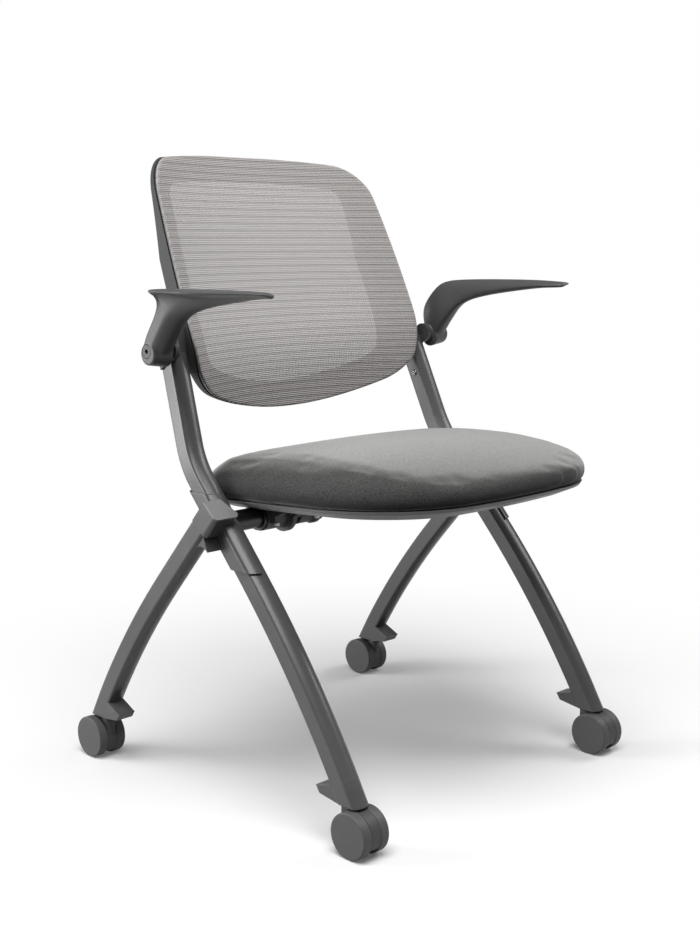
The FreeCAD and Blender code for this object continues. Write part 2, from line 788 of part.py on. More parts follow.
def make_back_frame():
    step = mesh_thickness + carrier_depth
    body = behind_mesh(step + groove_width).common(back_prism(0.0))
    body = body.fuse(behind_mesh(step).common(back_prism(groove_depth)))
    body = body.cut(back_sweep(back_rear_path(), 0.0, reach))
    body = body.cut(back_prism(rail_width))
    spigot = make_spigot()
    keep = spigot.common(behind_mesh(step + groove_width).fuse(below_back()))
    body = body.fuse([keep, mirrored(keep)])
    hole = back_screw_hole(back_screw_dia / 2, 20.0)
    return body.cut([hole, mirrored(hole)]).removeSplitter()


def back_screw_hole(radius, length):
    d = upright_axis()
    across = (V(1, 0, 0) - d * d.x).normalize()
    start = upright_point(back_screw_z) - across * (leg_width / 2 + 1.0)
    return Part.makeCylinder(radius, length, start, across)


def make_back_screws():
    d = upright_axis()
    across = (V(1, 0, 0) - d * d.x).normalize()
    seat = upright_point(back_screw_z) - across * (leg_width / 2 + back_screw_gap)
    shank = Part.makeCylinder(back_screw_dia / 2 - pin_gap, 16.0, seat, across)
    head = Part.makeCylinder(back_screw_head / 2, 2.5, seat - across * 2.5, across)
    ball = Part.makeSphere(back_screw_head * 0.66, seat + across * 3.6)
    screw = head.common(ball).fuse(shank)
    socket = Part.makeCylinder(1.8, 1.8, seat - across * 3.0, across)
    screw = screw.cut(socket).removeSplitter()
    return Part.makeCompound([screw, mirrored(screw)])


def make_back_carrier():
    body = back_slab(mesh_thickness, mesh_thickness + carrier_depth)
    body = body.common(back_prism(1.0))
    return body.cut(back_prism(carrier_width))


def make_back_mesh():
    return back_slab(0.0, mesh_thickness).common(back_prism(0.0))


# Arms

def make_arm_bracket(envelope):
    """Steel tongue on the upright's outer face with the round boss for the arm's bolt."""
    x0 = arm_boss_inner_x
    x1 = arm_inner_x - arm_side_gap
    boss = tube_x(arm_boss_radius, x0, x1, arm_pivot_y, arm_pivot_z)
    a = upright_point(arm_pivot_z - 28.4)
    b = upright_point(upright_top)
    half = leg_flat / 2 / math.cos(math.radians(upright_tilt))
    tongue = slab_x([(arm_pivot_y - 9.0, arm_pivot_z - 14.0), (a.y + half, a.z),
                     (b.y + half, b.z), (arm_pivot_y + 4.0, arm_pivot_z + 16.0)], x0, x1)
    body = boss.fuse(tongue)
    bolt = tube_x(arm_bolt_dia / 2, x0 - 1.0, x1 + 1.0, arm_pivot_y, arm_pivot_z)
    head = make_spigot()
    return body.cut([envelope, head, bolt]).removeSplitter()


def arm_inner_face(z):
    """X of the arm's inner face: it moves outwards from the hub up to the pad."""
    return arm_inner_x + arm_inner_slope * (z - arm_pivot_z + arm_hub_radius)


def arm_outline(points, face):
    """Closed side outline from arcs through every second point, placed from the arm's pivot."""
    p = [V(face(arm_pivot_z + z), arm_pivot_y + y, arm_pivot_z + z) for y, z in points]
    p.append(p[0])
    edges = [arc(p[k], p[k + 1], p[k + 2]) for k in range(0, len(p) - 2, 2)]
    return Part.Wire(edges)


def arm_body():
    """Stem and keel: a loft from the narrow outer outline to the wider inner one."""
    outer = [(9.9, 8.6), (-5.7, 31.6), (-21.7, 53.6), (-26.7, 62.6), (-31.7, 76.6),
             (-117.7, 78.6), (-257.7, 86.1),
             (-182.7, 75.1), (-109.2, 64.5), (-69.5, 54.6), (-48.8, 36.5), (-29.7, 13.1),
             (-10.5, -8.0), (0.3, -8.4)]
    inner = [(16.3, 14.6), (17.8, 30.6), (4.8, 51.6), (-8.7, 64.6), (-23.7, 75.6),
             (-117.7, 78.6), (-257.7, 86.1),
             (-177.7, 70.2), (-108.7, 58.6), (-72.7, 48.4), (-49.7, 35.6), (-26.7, 9.6),
             (-11.2, -6.4), (3.3, -6.4)]
    return Part.makeLoft([arm_outline(outer, lambda z: arm_outer_x),
                          arm_outline(inner, arm_inner_face)], True, True)


def arm_wing():
    """Pad: a plate with a wedge under it that thins from the keel out to the lip."""
    sides = []
    for x, crest, edge, keel in ((arm_pad_inner_x, 86.1, 76.6, 74.6),
                                 (arm_outer_x, 85.0, 76.6, 65.6),
                                 (arm_pad_outer_x + 2.0, 82.9, 76.6, 79.8)):
        low = min(keel + 2.0, edge + 2.0)
        sides.append(([(-6.7, edge), (-6.2, edge + 2.0), (-6.7, crest - 3.4), (-117.7, crest),
                       (-253.7, crest - 0.6), (-254.0, crest - 1.6), (-253.7, crest - 2.4),
                       (-177.7, (keel + crest) / 2 - 1.0), (-112.7, keel), (-57.7, low)], x))
    return Part.makeLoft([arm_outline(points, lambda z, x=x: x) for points, x in sides],
                         True, True)


def arm_plan(rear):
    """Plan of the pad as seen from above, reaching back to rear on the inner side."""
    z = arm_pivot_z - 40.0
    outer = arm_outer_x - arm_inner_x
    lip = arm_pad_outer_x - arm_inner_x
    p = [(-6.0, rear), (outer - 2.0, max(rear, -18.7)), (lip - 25.0, -63.7), (lip - 3.0, -105.7),
         (lip, -129.7), (lip, -151.7), (lip - 8.0, -169.7), (lip - 29.0, -195.7),
         (outer + 1.0, -248.7), (26.7, -234.7), (14.7, -203.7), (10.2, -179.7), (-6.0, -167.7)]
    v = [V(arm_inner_x + x, arm_pivot_y + y, z) for x, y in p]
    outline = Part.Wire([line(v[0], v[1]), arc(v[1], v[2], v[3]), arc(v[3], v[4], v[5]),
                         arc(v[5], v[6], v[7]), line(v[7], v[8]), arc(v[8], v[9], v[10]),
                         arc(v[10], v[11], v[12]), line(v[12], v[0])])
    return Part.Face(outline).extrude(V(0, 0, 160.0))


def make_arm():
    body = arm_body().common(arm_plan(42.3))
    wing = arm_wing().common(arm_plan(-8.7))
    hub = tube_x(arm_hub_radius, arm_inner_x, arm_outer_x, arm_pivot_y, arm_pivot_z)
    body = hub.fuse([body, wing]).removeSplitter()
    bore = tube_x(arm_bolt_dia / 2 + pin_gap, arm_inner_x - 1.0, arm_outer_x + 1.0,
                  arm_pivot_y, arm_pivot_z)
    seat = tube_x(arm_bolt_head / 2 + 0.2, arm_outer_x - arm_bolt_head_height - part_gap,
                  arm_outer_x + 1.0, arm_pivot_y, arm_pivot_z)
    return body.cut(bore.fuse(seat))


def make_arm_bolt():
    head_x = arm_outer_x - arm_bolt_head_height
    shank = tube_x(arm_bolt_dia / 2, arm_boss_inner_x, head_x, arm_pivot_y, arm_pivot_z)
    head = tube_x(arm_bolt_head / 2, head_x, arm_outer_x, arm_pivot_y, arm_pivot_z)
    hexagon = []
    for k in range(6):
        a = math.radians(60 * k)
        r = arm_bolt_socket / math.sqrt(3)
        hexagon.append((arm_pivot_y + r * math.cos(a), arm_pivot_z + r * math.sin(a)))
    socket = slab_x(hexagon, head_x - 1.5, arm_outer_x + 1.0)
    return shank.fuse(head).cut(socket).removeSplitter()


# Casters, drawn with the stem on the Z axis and the wheels towards -Y

def caster_centre():
    return -caster_offset, wheel_dia / 2


def make_caster_housing():
    """Centre body between the wheels with the stem tower, open below at the outer end."""
    y, z = caster_centre()
    half = caster_body_width / 2
    disc = tube_x(wheel_dia / 2 - 0.8, -half, half, y, z)
    disc = disc.cut(Part.makeBox(40, 60, 40, V(-20, y - wheel_dia / 2 - 8.0, z - 55.0)))
    tower = Part.makeBox(2 * half, 16.0, foot_bottom - neck_height - part_gap - z,
                         V(-half, -7.5, z))
    tower = tower.makeFillet(6.0, [e for e in tower.Edges
                                   if abs(e.tangentAt(e.FirstParameter).z) > 0.99
                                   and e.Vertexes[0].Point.y > 0])
    body = disc.fuse(tower)
    pin = tube_z(caster_pin_dia / 2 + pin_gap, z + 4.0, foot_bottom, 0, 0)
    axle = tube_x(axle_dia / 2, -half - 1, half + 1, y, z)
    return body.cut([pin, axle]).removeSplitter()


def make_caster_stem():
    y, z = caster_centre()
    neck_low = foot_bottom - neck_height
    stem = tube_z(stem_dia / 2, foot_bottom, foot_bottom + stem_height, 0, 0)
    stem = stem.makeFillet(1.5, [stem.Edges[0] if stem.Edges[0].CenterOfMass.z > foot_bottom + 1
                                 else stem.Edges[2]])
    neck = tube_z(neck_dia / 2, neck_low, foot_bottom, 0, 0)
    pin = tube_z(caster_pin_dia / 2, z + 5.0, neck_low, 0, 0)
    return stem.fuse([neck, pin]).removeSplitter()


def make_caster_axle():
    y, z = caster_centre()
    reach = caster_body_width / 2 + wheel_gap + wheel_width - 3.5
    return tube_x(axle_dia / 2, -reach, reach, y, z)


def make_caster_wheel(side):
    y, z = caster_centre()
    x0 = caster_body_width / 2 + wheel_gap
    wheel = tube_x(wheel_dia / 2, x0, x0 + wheel_width, y, z)
    rims = [e for e in wheel.Edges if e.Length > 100 and len(e.Vertexes) == 1]
    wheel = wheel.makeFillet(wheel_round, rims)
    # Hollow inner face with its hub
    hollow = tube_x(wheel_dia / 2 - 5.0, x0 - 1.0, x0 + wheel_width - 5.0, y, z)
    hollow = hollow.cut(tube_x(axle_dia / 2 + 3.5, x0 - 2.0, x0 + wheel_width, y, z))
    bore = tube_x(axle_dia / 2 + pin_gap, x0 - 1.0, x0 + wheel_width - 3.0, y, z)
    wheel = wheel.cut([hollow, bore])
    return wheel if side > 0 else mirrored(wheel)


def place_caster(shape, front, side):
    """Stand a caster part under its foot; the rear wheels trail to the rear."""
    if front:
        placed = moved(shape, front_caster_x, front_stem_y, 0)
    else:
        turned = rotated(shape, V(0, 0, 0), V(0, 0, 1), 180)
        placed = moved(turned, rear_caster_x, rear_stem_y, 0)
    return placed if side > 0 else mirrored(placed)


def main():
    os.makedirs("parts", exist_ok=True)
    envelope = leg_sweep(0.0, leg_foot_z)
    write_pair("leg_tube", make_leg_tube(envelope))
    write_pair("rear_leg", make_rear_leg(envelope))
    write_pair("leg_cap", make_leg_cap())
    write_pair("front_foot", make_foot(True))
    write_pair("rear_foot", make_foot(False))
    write("cross_tube", make_cross_tube(envelope))
    write_pair("cross_tube_collar", make_collar())
    write_pair("seat_stop_tab", make_stop_tab())
    write_pair("seat_hinge_bracket", make_hinge_bracket())
    write_pair("seat_hinge_cap", make_hinge_cap())
    screws = make_hinge_screws()
    write("seat_hinge_screws", Part.makeCompound([screws, mirrored(screws)]))
    write("seat_shell", make_seat_shell())
    write("seat_board", make_seat_board())
    write("seat_cushion", make_seat_cushion())
    write("back_frame", make_back_frame())
    write("back_mesh_carrier", make_back_carrier())
    write("back_mesh", make_back_mesh())
    write("back_frame_screws", make_back_screws())
    write_pair("arm_bracket", make_arm_bracket(envelope))
    write_pair("arm", make_arm())
    write_pair("arm_bolt", make_arm_bolt())
    for end, front in (("front", True), ("rear", False)):
        for name, side in (("right", 1), ("left", -1)):
            caster = name + "_" + end + "_caster_"
            write(caster + "housing", place_caster(make_caster_housing(), front, side))
            write(caster + "stem", place_caster(make_caster_stem(), front, side))
            write(caster + "axle", place_caster(make_caster_axle(), front, side))
            write(caster + "outer_wheel", place_caster(make_caster_wheel(1), front, side))
            write(caster + "inner_wheel", place_caster(make_caster_wheel(-1), front, side))


main()
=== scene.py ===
import math

import bmesh
import bpy
from bpy.props import FloatProperty, FloatVectorProperty, IntProperty, PointerProperty
from mathutils import Euler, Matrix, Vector
from mathutils.geometry import convex_hull_2d


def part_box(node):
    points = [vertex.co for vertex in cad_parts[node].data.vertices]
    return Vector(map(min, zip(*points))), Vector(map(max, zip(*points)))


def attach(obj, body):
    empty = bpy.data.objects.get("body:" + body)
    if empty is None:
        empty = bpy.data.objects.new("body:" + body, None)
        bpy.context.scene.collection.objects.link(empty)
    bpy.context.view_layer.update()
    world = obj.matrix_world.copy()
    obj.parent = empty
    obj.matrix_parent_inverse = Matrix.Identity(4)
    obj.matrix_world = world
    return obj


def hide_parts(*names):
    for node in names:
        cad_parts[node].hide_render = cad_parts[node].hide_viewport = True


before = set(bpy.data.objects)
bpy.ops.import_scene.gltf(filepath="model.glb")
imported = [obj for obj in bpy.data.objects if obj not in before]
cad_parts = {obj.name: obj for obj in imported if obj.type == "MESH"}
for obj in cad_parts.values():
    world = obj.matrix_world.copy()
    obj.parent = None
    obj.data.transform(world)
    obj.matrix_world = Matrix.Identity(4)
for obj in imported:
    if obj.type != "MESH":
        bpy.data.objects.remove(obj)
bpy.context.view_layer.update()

bl_info = {
    "name": "Nesting Chair",
    "version": (1, 0, 0),
    "blender": (4, 5, 0),
    "location": "3D Viewport > Sidebar > Chair",
    "description": "Dresses a nesting chair: paint, moulded plastic, seat cushion and mesh back",
    "category": "Object",
}


# Socket arithmetic and the one way to add a node

class Wire:
    """A socket of a finish. Adding, multiplying and comparing wires adds the Math nodes for it."""

    def __init__(self, finish, socket):
        self.finish = finish
        self.socket = socket

    def maths(self, operation, first, second):
        return self.finish.add("ShaderNodeMath", {"operation": operation}, {0: first, 1: second})

    def __add__(self, other):
        return self.maths("ADD", self, other)

    def __sub__(self, other):
        return self.maths("SUBTRACT", self, other)

    def __rsub__(self, other):
        return self.maths("SUBTRACT", other, self)

    def __mul__(self, other):
        return self.maths("MULTIPLY", self, other)

    def __truediv__(self, other):
        return self.maths("DIVIDE", self, other)

    def __pow__(self, other):
        return self.maths("POWER", self, other)

    def __gt__(self, other):
        return self.maths("GREATER_THAN", self, other)

    __radd__ = __add__
    __rmul__ = __mul__


class Finish:
    """A material in the making: a Principled shader and the nodes that feed it."""

    def __init__(self, name, roughness=0.5, **plain):
        self.material = bpy.data.materials.new(name)
        self.material.use_nodes = True
        self.tree = self.material.node_tree
        self.shader = self.tree.nodes["Principled BSDF"]
        self.set(Roughness=roughness, **plain)

    def add(self, kind, settings=None, sockets=None, output=0):
        """Add a node of a kind, make its settings, fill its sockets and return one output."""
        node = self.tree.nodes.new(kind)
        for name, value in (settings or {}).items():
            setattr(node, name, value)
        for name, value in (sockets or {}).items():
            self.fill(node.inputs[name], value)
        return Wire(self, node.outputs[output])

    def fill(self, socket, value):
        if isinstance(value, Wire):
            self.tree.links.new(value.socket, socket)
        else:
            socket.default_value = value

    def set(self, **sockets):
        """Fill sockets of the shader, with spaces in their names written as underscores."""
        for name, value in sockets.items():
            self.fill(self.shader.inputs[name.replace("_", " ")], value)

    def place(self):
        """The point on the piece, in metres in the chair's own frame."""
        return self.add("ShaderNodeTexCoord", output="Object")

    def stretched(self, place, factors):
        return self.add("ShaderNodeVectorMath", {"operation": "MULTIPLY"}, {0: place, 1: factors})

    def part(self, place, axis):
        return self.add("ShaderNodeSeparateXYZ", None, {0: place}, axis)

    def noise(self, place, per_metre, detail=2.0, rough=0.5):
        sockets = {"Vector": place, "Scale": per_metre, "Detail": detail, "Roughness": rough}
        return self.add("ShaderNodeTexNoise", None, sockets)

    def cells(self, place, per_metre):
        sockets = {"Vector": place, "Scale": per_metre}
        return self.add("ShaderNodeTexVoronoi", None, sockets, "Distance")

    def wave(self, value):
        return self.add("ShaderNodeMath", {"operation": "SINE"}, {0: value})

    def size_of(self, value):
        return self.add("ShaderNodeMath", {"operation": "ABSOLUTE"}, {0: value})

    def between(self, value, low, high):
        """0 where the value is low and 1 where it is high, eased in between."""
        sockets = {"Value": value, "From Min": low, "From Max": high}
        return self.add("ShaderNodeMapRange", {"interpolation_type": "SMOOTHSTEP"}, sockets)

    def blend(self, share, first, second):
        """Mix of two colours."""
        return self.add("ShaderNodeMix", {"data_type": "RGBA"}, {0: share, 6: first, 7: second}, 2)

    def rounded(self, radius):
        """The surface's direction with its edges rounded by a radius in metres."""
        return self.add("ShaderNodeBevel", {"samples": 4}, {"Radius": radius})

    def direction(self):
        return self.add("ShaderNodeNewGeometry", output="Normal")

    def sharp_edge_mask(self, radius):
        """1 along the piece's sharp outer edges and 0 elsewhere."""
        sockets = {0: self.rounded(radius), 1: self.direction()}
        along = self.add("ShaderNodeVectorMath", {"operation": "DOT_PRODUCT"}, sockets, 1)
        return self.between(along, 0.97, 0.8)

    def relief(self, height, depth, edge=0.0):
        """Bump of a depth in metres over edges rounded by a radius in metres."""
        sockets = {"Height": height, "Distance": depth}
        if edge:
            sockets["Normal"] = self.rounded(edge)
        self.set(Normal=self.add("ShaderNodeBump", None, sockets))


def opaque(colour):
    """A colour with a full alpha."""
    return (colour[0], colour[1], colour[2], 1.0)


def scaled(colour, factor):
    """A colour made lighter or darker by a factor, with a full alpha."""
    return (colour[0] * factor, colour[1] * factor, colour[2] * factor, 1.0)


# Sizes and colours that a user may change

def tint(name, description, shade):
    """A colour setting, from one number for a grey or from three."""
    colour = (shade, shade, shade) if isinstance(shade, float) else shade
    return FloatVectorProperty(name=name, description=description, default=colour,
                               subtype="COLOR", size=3, min=0.0, max=1.0)


def distance(name, description, metres):
    """A length setting."""
    return FloatProperty(name=name, description=description, default=metres, min=0.0,
                         unit="LENGTH", precision=5)


def amount(name, description, value, least=0.0):
    """A setting without a unit."""
    return FloatProperty(name=name, description=description, default=value, min=least)


def angle(name, description, degrees):
    """An angle setting."""
    return FloatProperty(name=name, description=description, default=math.radians(degrees),
                         subtype="ANGLE")


def count(name, description, number, least):
    """A setting for a whole number."""
    return IntProperty(name=name, description=description, default=number, min=least)


class ChairStudio(bpy.types.PropertyGroup):
    """Floor, lamps and camera."""

    floor_colour: tint("Floor", "Colour of the floor that carries the shadow", 0.86)
    bounce_colour: tint("Floor bounce", "Colour of the light that the floor sends back up", 0.07)
    floor_near: distance("Near floor", "How far the floor keeps its own shade", 0.20)
    floor_far: distance("Far floor", "Where the floor has turned into the plain backdrop", 1.10)
    sky_strength: amount("Sky", "Strength of the even light all round", 0.14)
    top_power: amount("Top lamp", "Power of the large lamp overhead, in watts", 80.0)
    left_power: amount("Left lamp", "Power of the lamp behind on the left, in watts", 45.0)
    right_power: amount("Right lamp", "Power of the lamp in front on the right, in watts", 22.0)
    lens: amount("Lens", "Focal length on a 36 mm sensor, in millimetres", 52.97, 1.0)
    eye: FloatVectorProperty(name="Camera", description="Place of the camera",
                             subtype="TRANSLATION", unit="LENGTH",
                             default=(-1.3797, -1.3604, 0.7520))
    turn: angle("Camera turn", "Heading of the camera, from straight ahead to the right", 44.778)
    tip: angle("Camera tip", "How far the camera looks down", 9.324)


class ChairPaint(bpy.types.PropertyGroup):
    """Powder coat, castings, moulded plastic and fasteners."""

    coat_colour: tint("Powder coat", "Colour of the legs, feet and uprights", 0.090)
    cap_colour: tint("Cast caps", "Colour of the plates that close the knuckles", 0.22)
    plastic_colour: tint("Moulded plastic", "Colour of the arms and the back shell", 0.085)
    pan_colour: tint("Seat pan", "Colour of the moulded pan under the seat", 0.30)
    # Near-black of the bearings and collars, taken darker still to paint in the seat's shadow over
    # them; it also paints that shadow onto the cross tube
    black_and_shadow_colour: tint("Black plastic", "Colour of the bearings and collars", 0.006)
    wheel_colour: tint("Wheels", "Colour of the caster wheels and housings", 0.105)
    steel_colour: tint("Steel", "Colour of screws, stems and axles", (0.30, 0.30, 0.31))
    board_colour: tint("Plywood", "Colour of the board inside the seat", (0.46, 0.31, 0.17))
    edge_radius: distance("Edge radius", "Rounding that paint and moulding leave on edges", 0.0009)
    peel_depth: distance("Orange peel", "Depth of the waves in the powder coat", 0.00003)
    grain_depth: distance("Mould grain", "Depth of the grain on moulded plastic", 0.00005)


class ChairArms(bpy.types.PropertyGroup):
    """Moulded arms."""

    hub_radius: distance("Hub", "Radius of an arm's round lower end on its outer face", 0.0150)
    heel_radius: distance("Heel", "Radius of an arm's round lower end on its inner side", 0.0168)
    spacer_radius: distance("Spacer", "Radius of the disc between an arm and its bracket", 0.0120)
    boss_radius: distance("Boss", "Radius of the round boss on an arm's bracket", 0.0145)
    seat_radius: distance("Bolt seat", "Radius of the hole for the bolt's head", 0.0096)
    seat_depth: distance("Bolt seat depth", "Depth of the hole for the bolt's head", 0.0034)
    grid: distance("Grid", "Size of the cells that melt an arm's forms together", 0.0012)


class ChairSeat(bpy.types.PropertyGroup):
    """Upholstered cushion."""

    dark_yarn: tint("Dark yarn", "Darker yarn of the seat cover", (0.038, 0.038, 0.037))
    light_yarn: tint("Light yarn", "Lighter yarn of the seat cover", (0.098, 0.098, 0.096))
    # Colour of the sheen painted into the cover where it is seen at a grazing angle
    painted_sheen_colour: tint("Nap", "Colour of the nap, seen along the cover", (0.43, 0.43, 0.421))
    yarn_pitch: distance("Yarn pitch", "Distance between neighbouring yarns", 0.0016)
    foam_grid: distance("Foam grid", "Size of the cells that the cover is simulated with", 0.0055)
    puff: amount("Puff", "Pressure of the foam on its cover", 1.6)
    most_puff: distance("Most puff", "Furthest that the cover may swell", 0.0016)
    steps: count("Steps", "Steps of the cover's simulation", 14, 1)


class ChairBack(bpy.types.PropertyGroup):
    """Stretched mesh of the back."""

    thread_colour: tint("Thread", "Colour of the mesh's threads", (0.405, 0.384, 0.376))
    stripe_colour: tint("Stripe", "Colour of every fourth row", (0.215, 0.201, 0.197))
    row_pitch: distance("Row pitch", "Distance between rows of thread", 0.00283)
    column_pitch: distance("Column pitch", "Distance between the upright threads", 0.0030)
    bow_radius: distance("Bow radius", "Radius of the back across the chair", 0.414)
    front: distance("Front", "Where the mesh's front stands in the middle plane", 0.1605)
    bend_height: distance("Bend height", "Height where the back starts to lean", 0.560)
    bend_radius: distance("Bend radius", "Radius of the bend in the small of the back", 0.200)
    lean: angle("Lean", "Lean of the upper back", 21.85)
    wrap: distance("Wrap", "How far the mesh folds back round its carrier", 0.0042)
    rings: count("Rings", "Rings of faces from the middle to the edge", 44, 2)
    spokes: count("Spokes", "Faces round the edge", 176, 12)


# Finishes

def powder_coat(name, colour, paint):
    """Satin powder coat: fine orange peel, faint cloudiness, and sharp edges made lighter and a
    little glossier.
    """
    coat = Finish(name)
    place = coat.place()
    cloud = coat.noise(place, 14.0, 3.0)
    speck = coat.noise(place, 2600.0, 1.0)
    # The edge mask marks every sharp edge; the coat is made lighter and a little glossier along it
    edge = coat.sharp_edge_mask(paint.edge_radius * 1.6)
    tone = coat.blend(coat.between(cloud, 0.3, 0.7), scaled(colour, 0.93), scaled(colour, 1.08))
    tone = coat.blend(coat.between(speck, 0.62, 0.8) * 0.35, tone, scaled(colour, 1.6))
    tone = coat.blend(edge * coat.between(cloud, 0.35, 0.75) * 0.5, tone, scaled(colour, 1.9))
    coat.set(Base_Color=tone, Roughness=0.26 + 0.08 * cloud - 0.04 * edge)
    peel = coat.noise(place, 900.0, 2.0) + 0.35 * speck
    coat.relief(peel, paint.peel_depth, paint.edge_radius)
    return coat.material


def moulded(name, colour, paint, rough=0.46, gloss=0.5):
    """Moulded plastic with a spark-eroded grain and softer edges."""
    skin = Finish(name, Specular_IOR_Level=gloss)
    place = skin.place()
    grain = skin.cells(place, 1500.0)
    flow = skin.noise(skin.stretched(place, (1.0, 0.4, 1.0)), 9.0, 3.0)
    # The edge mask marks every sharp edge; the plastic is made lighter along it
    edge = skin.sharp_edge_mask(paint.edge_radius * 1.4)
    tone = skin.blend(skin.between(flow, 0.3, 0.7), scaled(colour, 0.94), scaled(colour, 1.07))
    tone = skin.blend(skin.between(grain, 0.1, 0.5) * 0.25, scaled(colour, 0.8), tone)
    tone = skin.blend(edge * 0.25, tone, scaled(colour, 1.5))
    skin.set(Base_Color=tone, Roughness=rough + 0.10 * grain - 0.05 * flow)
    skin.relief(grain + 0.3 * skin.noise(place, 500.0), paint.grain_depth, paint.edge_radius)
    return skin.material


def bright_steel(name, colour, paint):
    """Dark zinc-plated steel, faintly brushed and clouded."""
    steel = Finish(name, Metallic=1.0)
    place = steel.place()
    brushed = steel.noise(steel.stretched(place, (0.08, 1.0, 1.0)), 2200.0, 2.0)
    cloud = steel.noise(place, 160.0, 3.0)
    tone = steel.blend(steel.between(cloud, 0.3, 0.7), scaled(colour, 0.8), scaled(colour, 1.15))
    steel.set(Base_Color=tone, Roughness=0.26 + 0.14 * brushed + 0.1 * cloud)
    steel.relief(brushed, 0.00002, paint.edge_radius * 0.5)
    return steel.material


def plywood(name, colour, paint):
    """Plain plywood: long grain on the faces, thin plies on the edge."""
    wood = Finish(name, roughness=0.62)
    place = wood.place()
    grain = wood.noise(wood.stretched(place, (1.0, 0.06, 1.0)), 240.0, 4.0)
    plies = wood.size_of(wood.wave(wood.part(place, 2) * (math.pi / 0.0015)))
    tone = wood.blend(wood.between(grain, 0.35, 0.7), scaled(colour, 0.7), scaled(colour, 1.12))
    tone = wood.blend(wood.between(plies, 0.0, 0.35), scaled(colour, 0.6), tone)
    wood.set(Base_Color=tone)
    wood.relief(grain, 0.0001, paint.edge_radius * 0.4)
    return wood.material


def plain_weave(cloth, across, along, pitch):
    """Height of a plain weave of two sets of yarns, from 0 in the gaps to 1 on the crowns."""
    warp = cloth.wave(across * (math.pi / pitch))
    weft = cloth.wave(along * (math.pi / pitch))
    over = warp * weft > 0.0
    return over * cloth.size_of(warp) + (1.0 - over) * cloth.size_of(weft)


def seat_cloth(name, seat):
    """Heathered woven cover: plain weave, mixed yarns and short light slubs, with painted shade in
    the gaps of the weave and a sheen painted into the colour where the cover is seen at a grazing
    angle.
    """
    cloth = Finish(name, roughness=0.92, Sheen_Weight=0.12, Sheen_Roughness=0.4,
                   Specular_IOR_Level=0.12)
    place = cloth.place()
    normal = cloth.direction()
    x, y, z = (cloth.part(place, axis) for axis in range(3))
    facing = [cloth.size_of(cloth.part(normal, axis)) ** 4.0 for axis in range(3)]
    total = facing[0] + facing[1] + facing[2]
    weave = (plain_weave(cloth, x, y, seat.yarn_pitch) * facing[2]
             + plain_weave(cloth, x, z, seat.yarn_pitch) * facing[1]
             + plain_weave(cloth, y, z, seat.yarn_pitch) * facing[0]) / total
    slub = cloth.noise(cloth.stretched(place, (1.0, 0.35, 0.8)), 1150.0, 2.0, 0.6)
    slub_across = cloth.noise(cloth.stretched(place, (0.35, 1.0, 1.0)), 1000.0, 2.0, 0.6)
    heather = cloth.between(slub * 0.6 + slub_across * 0.4, 0.38, 0.64)
    patch = cloth.noise(place, 26.0, 3.0)
    tone = cloth.blend(heather, opaque(seat.dark_yarn), opaque(seat.light_yarn))
    # Painted shade: the gaps between the yarns, where the weave is low, are made darker than either
    # yarn
    tone = cloth.blend(cloth.between(weave, 0.6, 0.05) * 0.4, tone, scaled(seat.dark_yarn, 0.6))
    tone = cloth.blend(cloth.between(patch, 0.3, 0.7) * 0.18, tone, scaled(seat.dark_yarn, 1.1))
    # Painted sheen: where the cover is seen at a grazing angle, as on its top, the base colour is
    # blended toward a light sheen colour, so the top looks lit and the sides seen face-on keep the
    # yarn colours
    grazing = cloth.add("ShaderNodeLayerWeight", None, {"Blend": 0.5}, "Facing")
    painted_sheen = cloth.between(grazing, 0.45, 0.88)
    tone = cloth.blend(painted_sheen * (0.6 + 0.35 * heather), tone, opaque(seat.painted_sheen_colour))
    cloth.set(Base_Color=tone)
    cloth.relief(weave + 0.5 * heather, 0.00018)
    return cloth.material


def open_mesh(name, back):
    """Stretched knitted mesh: rows of thread, every fourth one darker, tied by upright threads."""
    knit = Finish(name, roughness=0.72, Sheen_Weight=0.2, Sheen_Roughness=0.4,
                  Specular_IOR_Level=0.3)
    flat = knit.add("ShaderNodeUVMap", {"uv_map": "Knit"})
    across, up = knit.part(flat, 0), knit.part(flat, 1)
    row_at = up / back.row_pitch
    column_at = across / back.column_pitch
    row = knit.size_of(knit.wave(row_at * math.pi))
    column = knit.size_of(knit.wave(column_at * math.pi))
    thread = knit.between(row, 0.30, 0.62)
    tie = knit.between(column, 0.80, 0.95)
    every_fourth = knit.wave(row_at * (math.pi / 2.0)) * 0.5 + 0.5
    stripe = knit.between(every_fourth, 0.72, 0.97)
    twist = knit.noise(knit.stretched(flat, (1.0, 2.4, 1.0)), 620.0, 2.0)
    drift = knit.noise(knit.stretched(flat, (0.25, 3.0, 1.0)), 60.0, 2.0)
    knot = thread * tie
    tone = knit.blend(stripe * 0.75, opaque(back.thread_colour), opaque(back.stripe_colour))
    tone = knit.blend(knit.between(twist, 0.35, 0.7) * 0.35, tone, scaled(back.thread_colour, 1.22))
    tone = knit.blend(knot * 0.25, tone, scaled(back.thread_colour, 1.3))
    tone = knit.blend(knit.between(drift, 0.35, 0.7) * 0.15, tone, scaled(back.thread_colour, 0.75))
    solid = 1.0 - (1.0 - thread) * (1.0 - tie) * 0.40
    knit.set(Base_Color=tone, Alpha=solid)
    knit.relief(row * 0.8 + knot * 0.4 + twist * 0.2, 0.0007)
    return knit.material


# Shared building steps

def paint_nodes(material, names):
    """Give CAD nodes a finish. Their meshes stay as they are."""
    for name in names:
        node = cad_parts[name]
        node.data.materials.clear()
        node.data.materials.append(material)


def both(*names):
    """The nodes of these names on both sides."""
    return [side + name for side in ("left_", "right_") for name in names]


def add_piece(name, mesh, material):
    """Put a mesh in the scene as a piece with a material slot."""
    piece = bpy.data.objects.new(name, mesh)
    bpy.context.scene.collection.objects.link(piece)
    mesh.materials.clear()
    mesh.materials.append(material)
    return piece


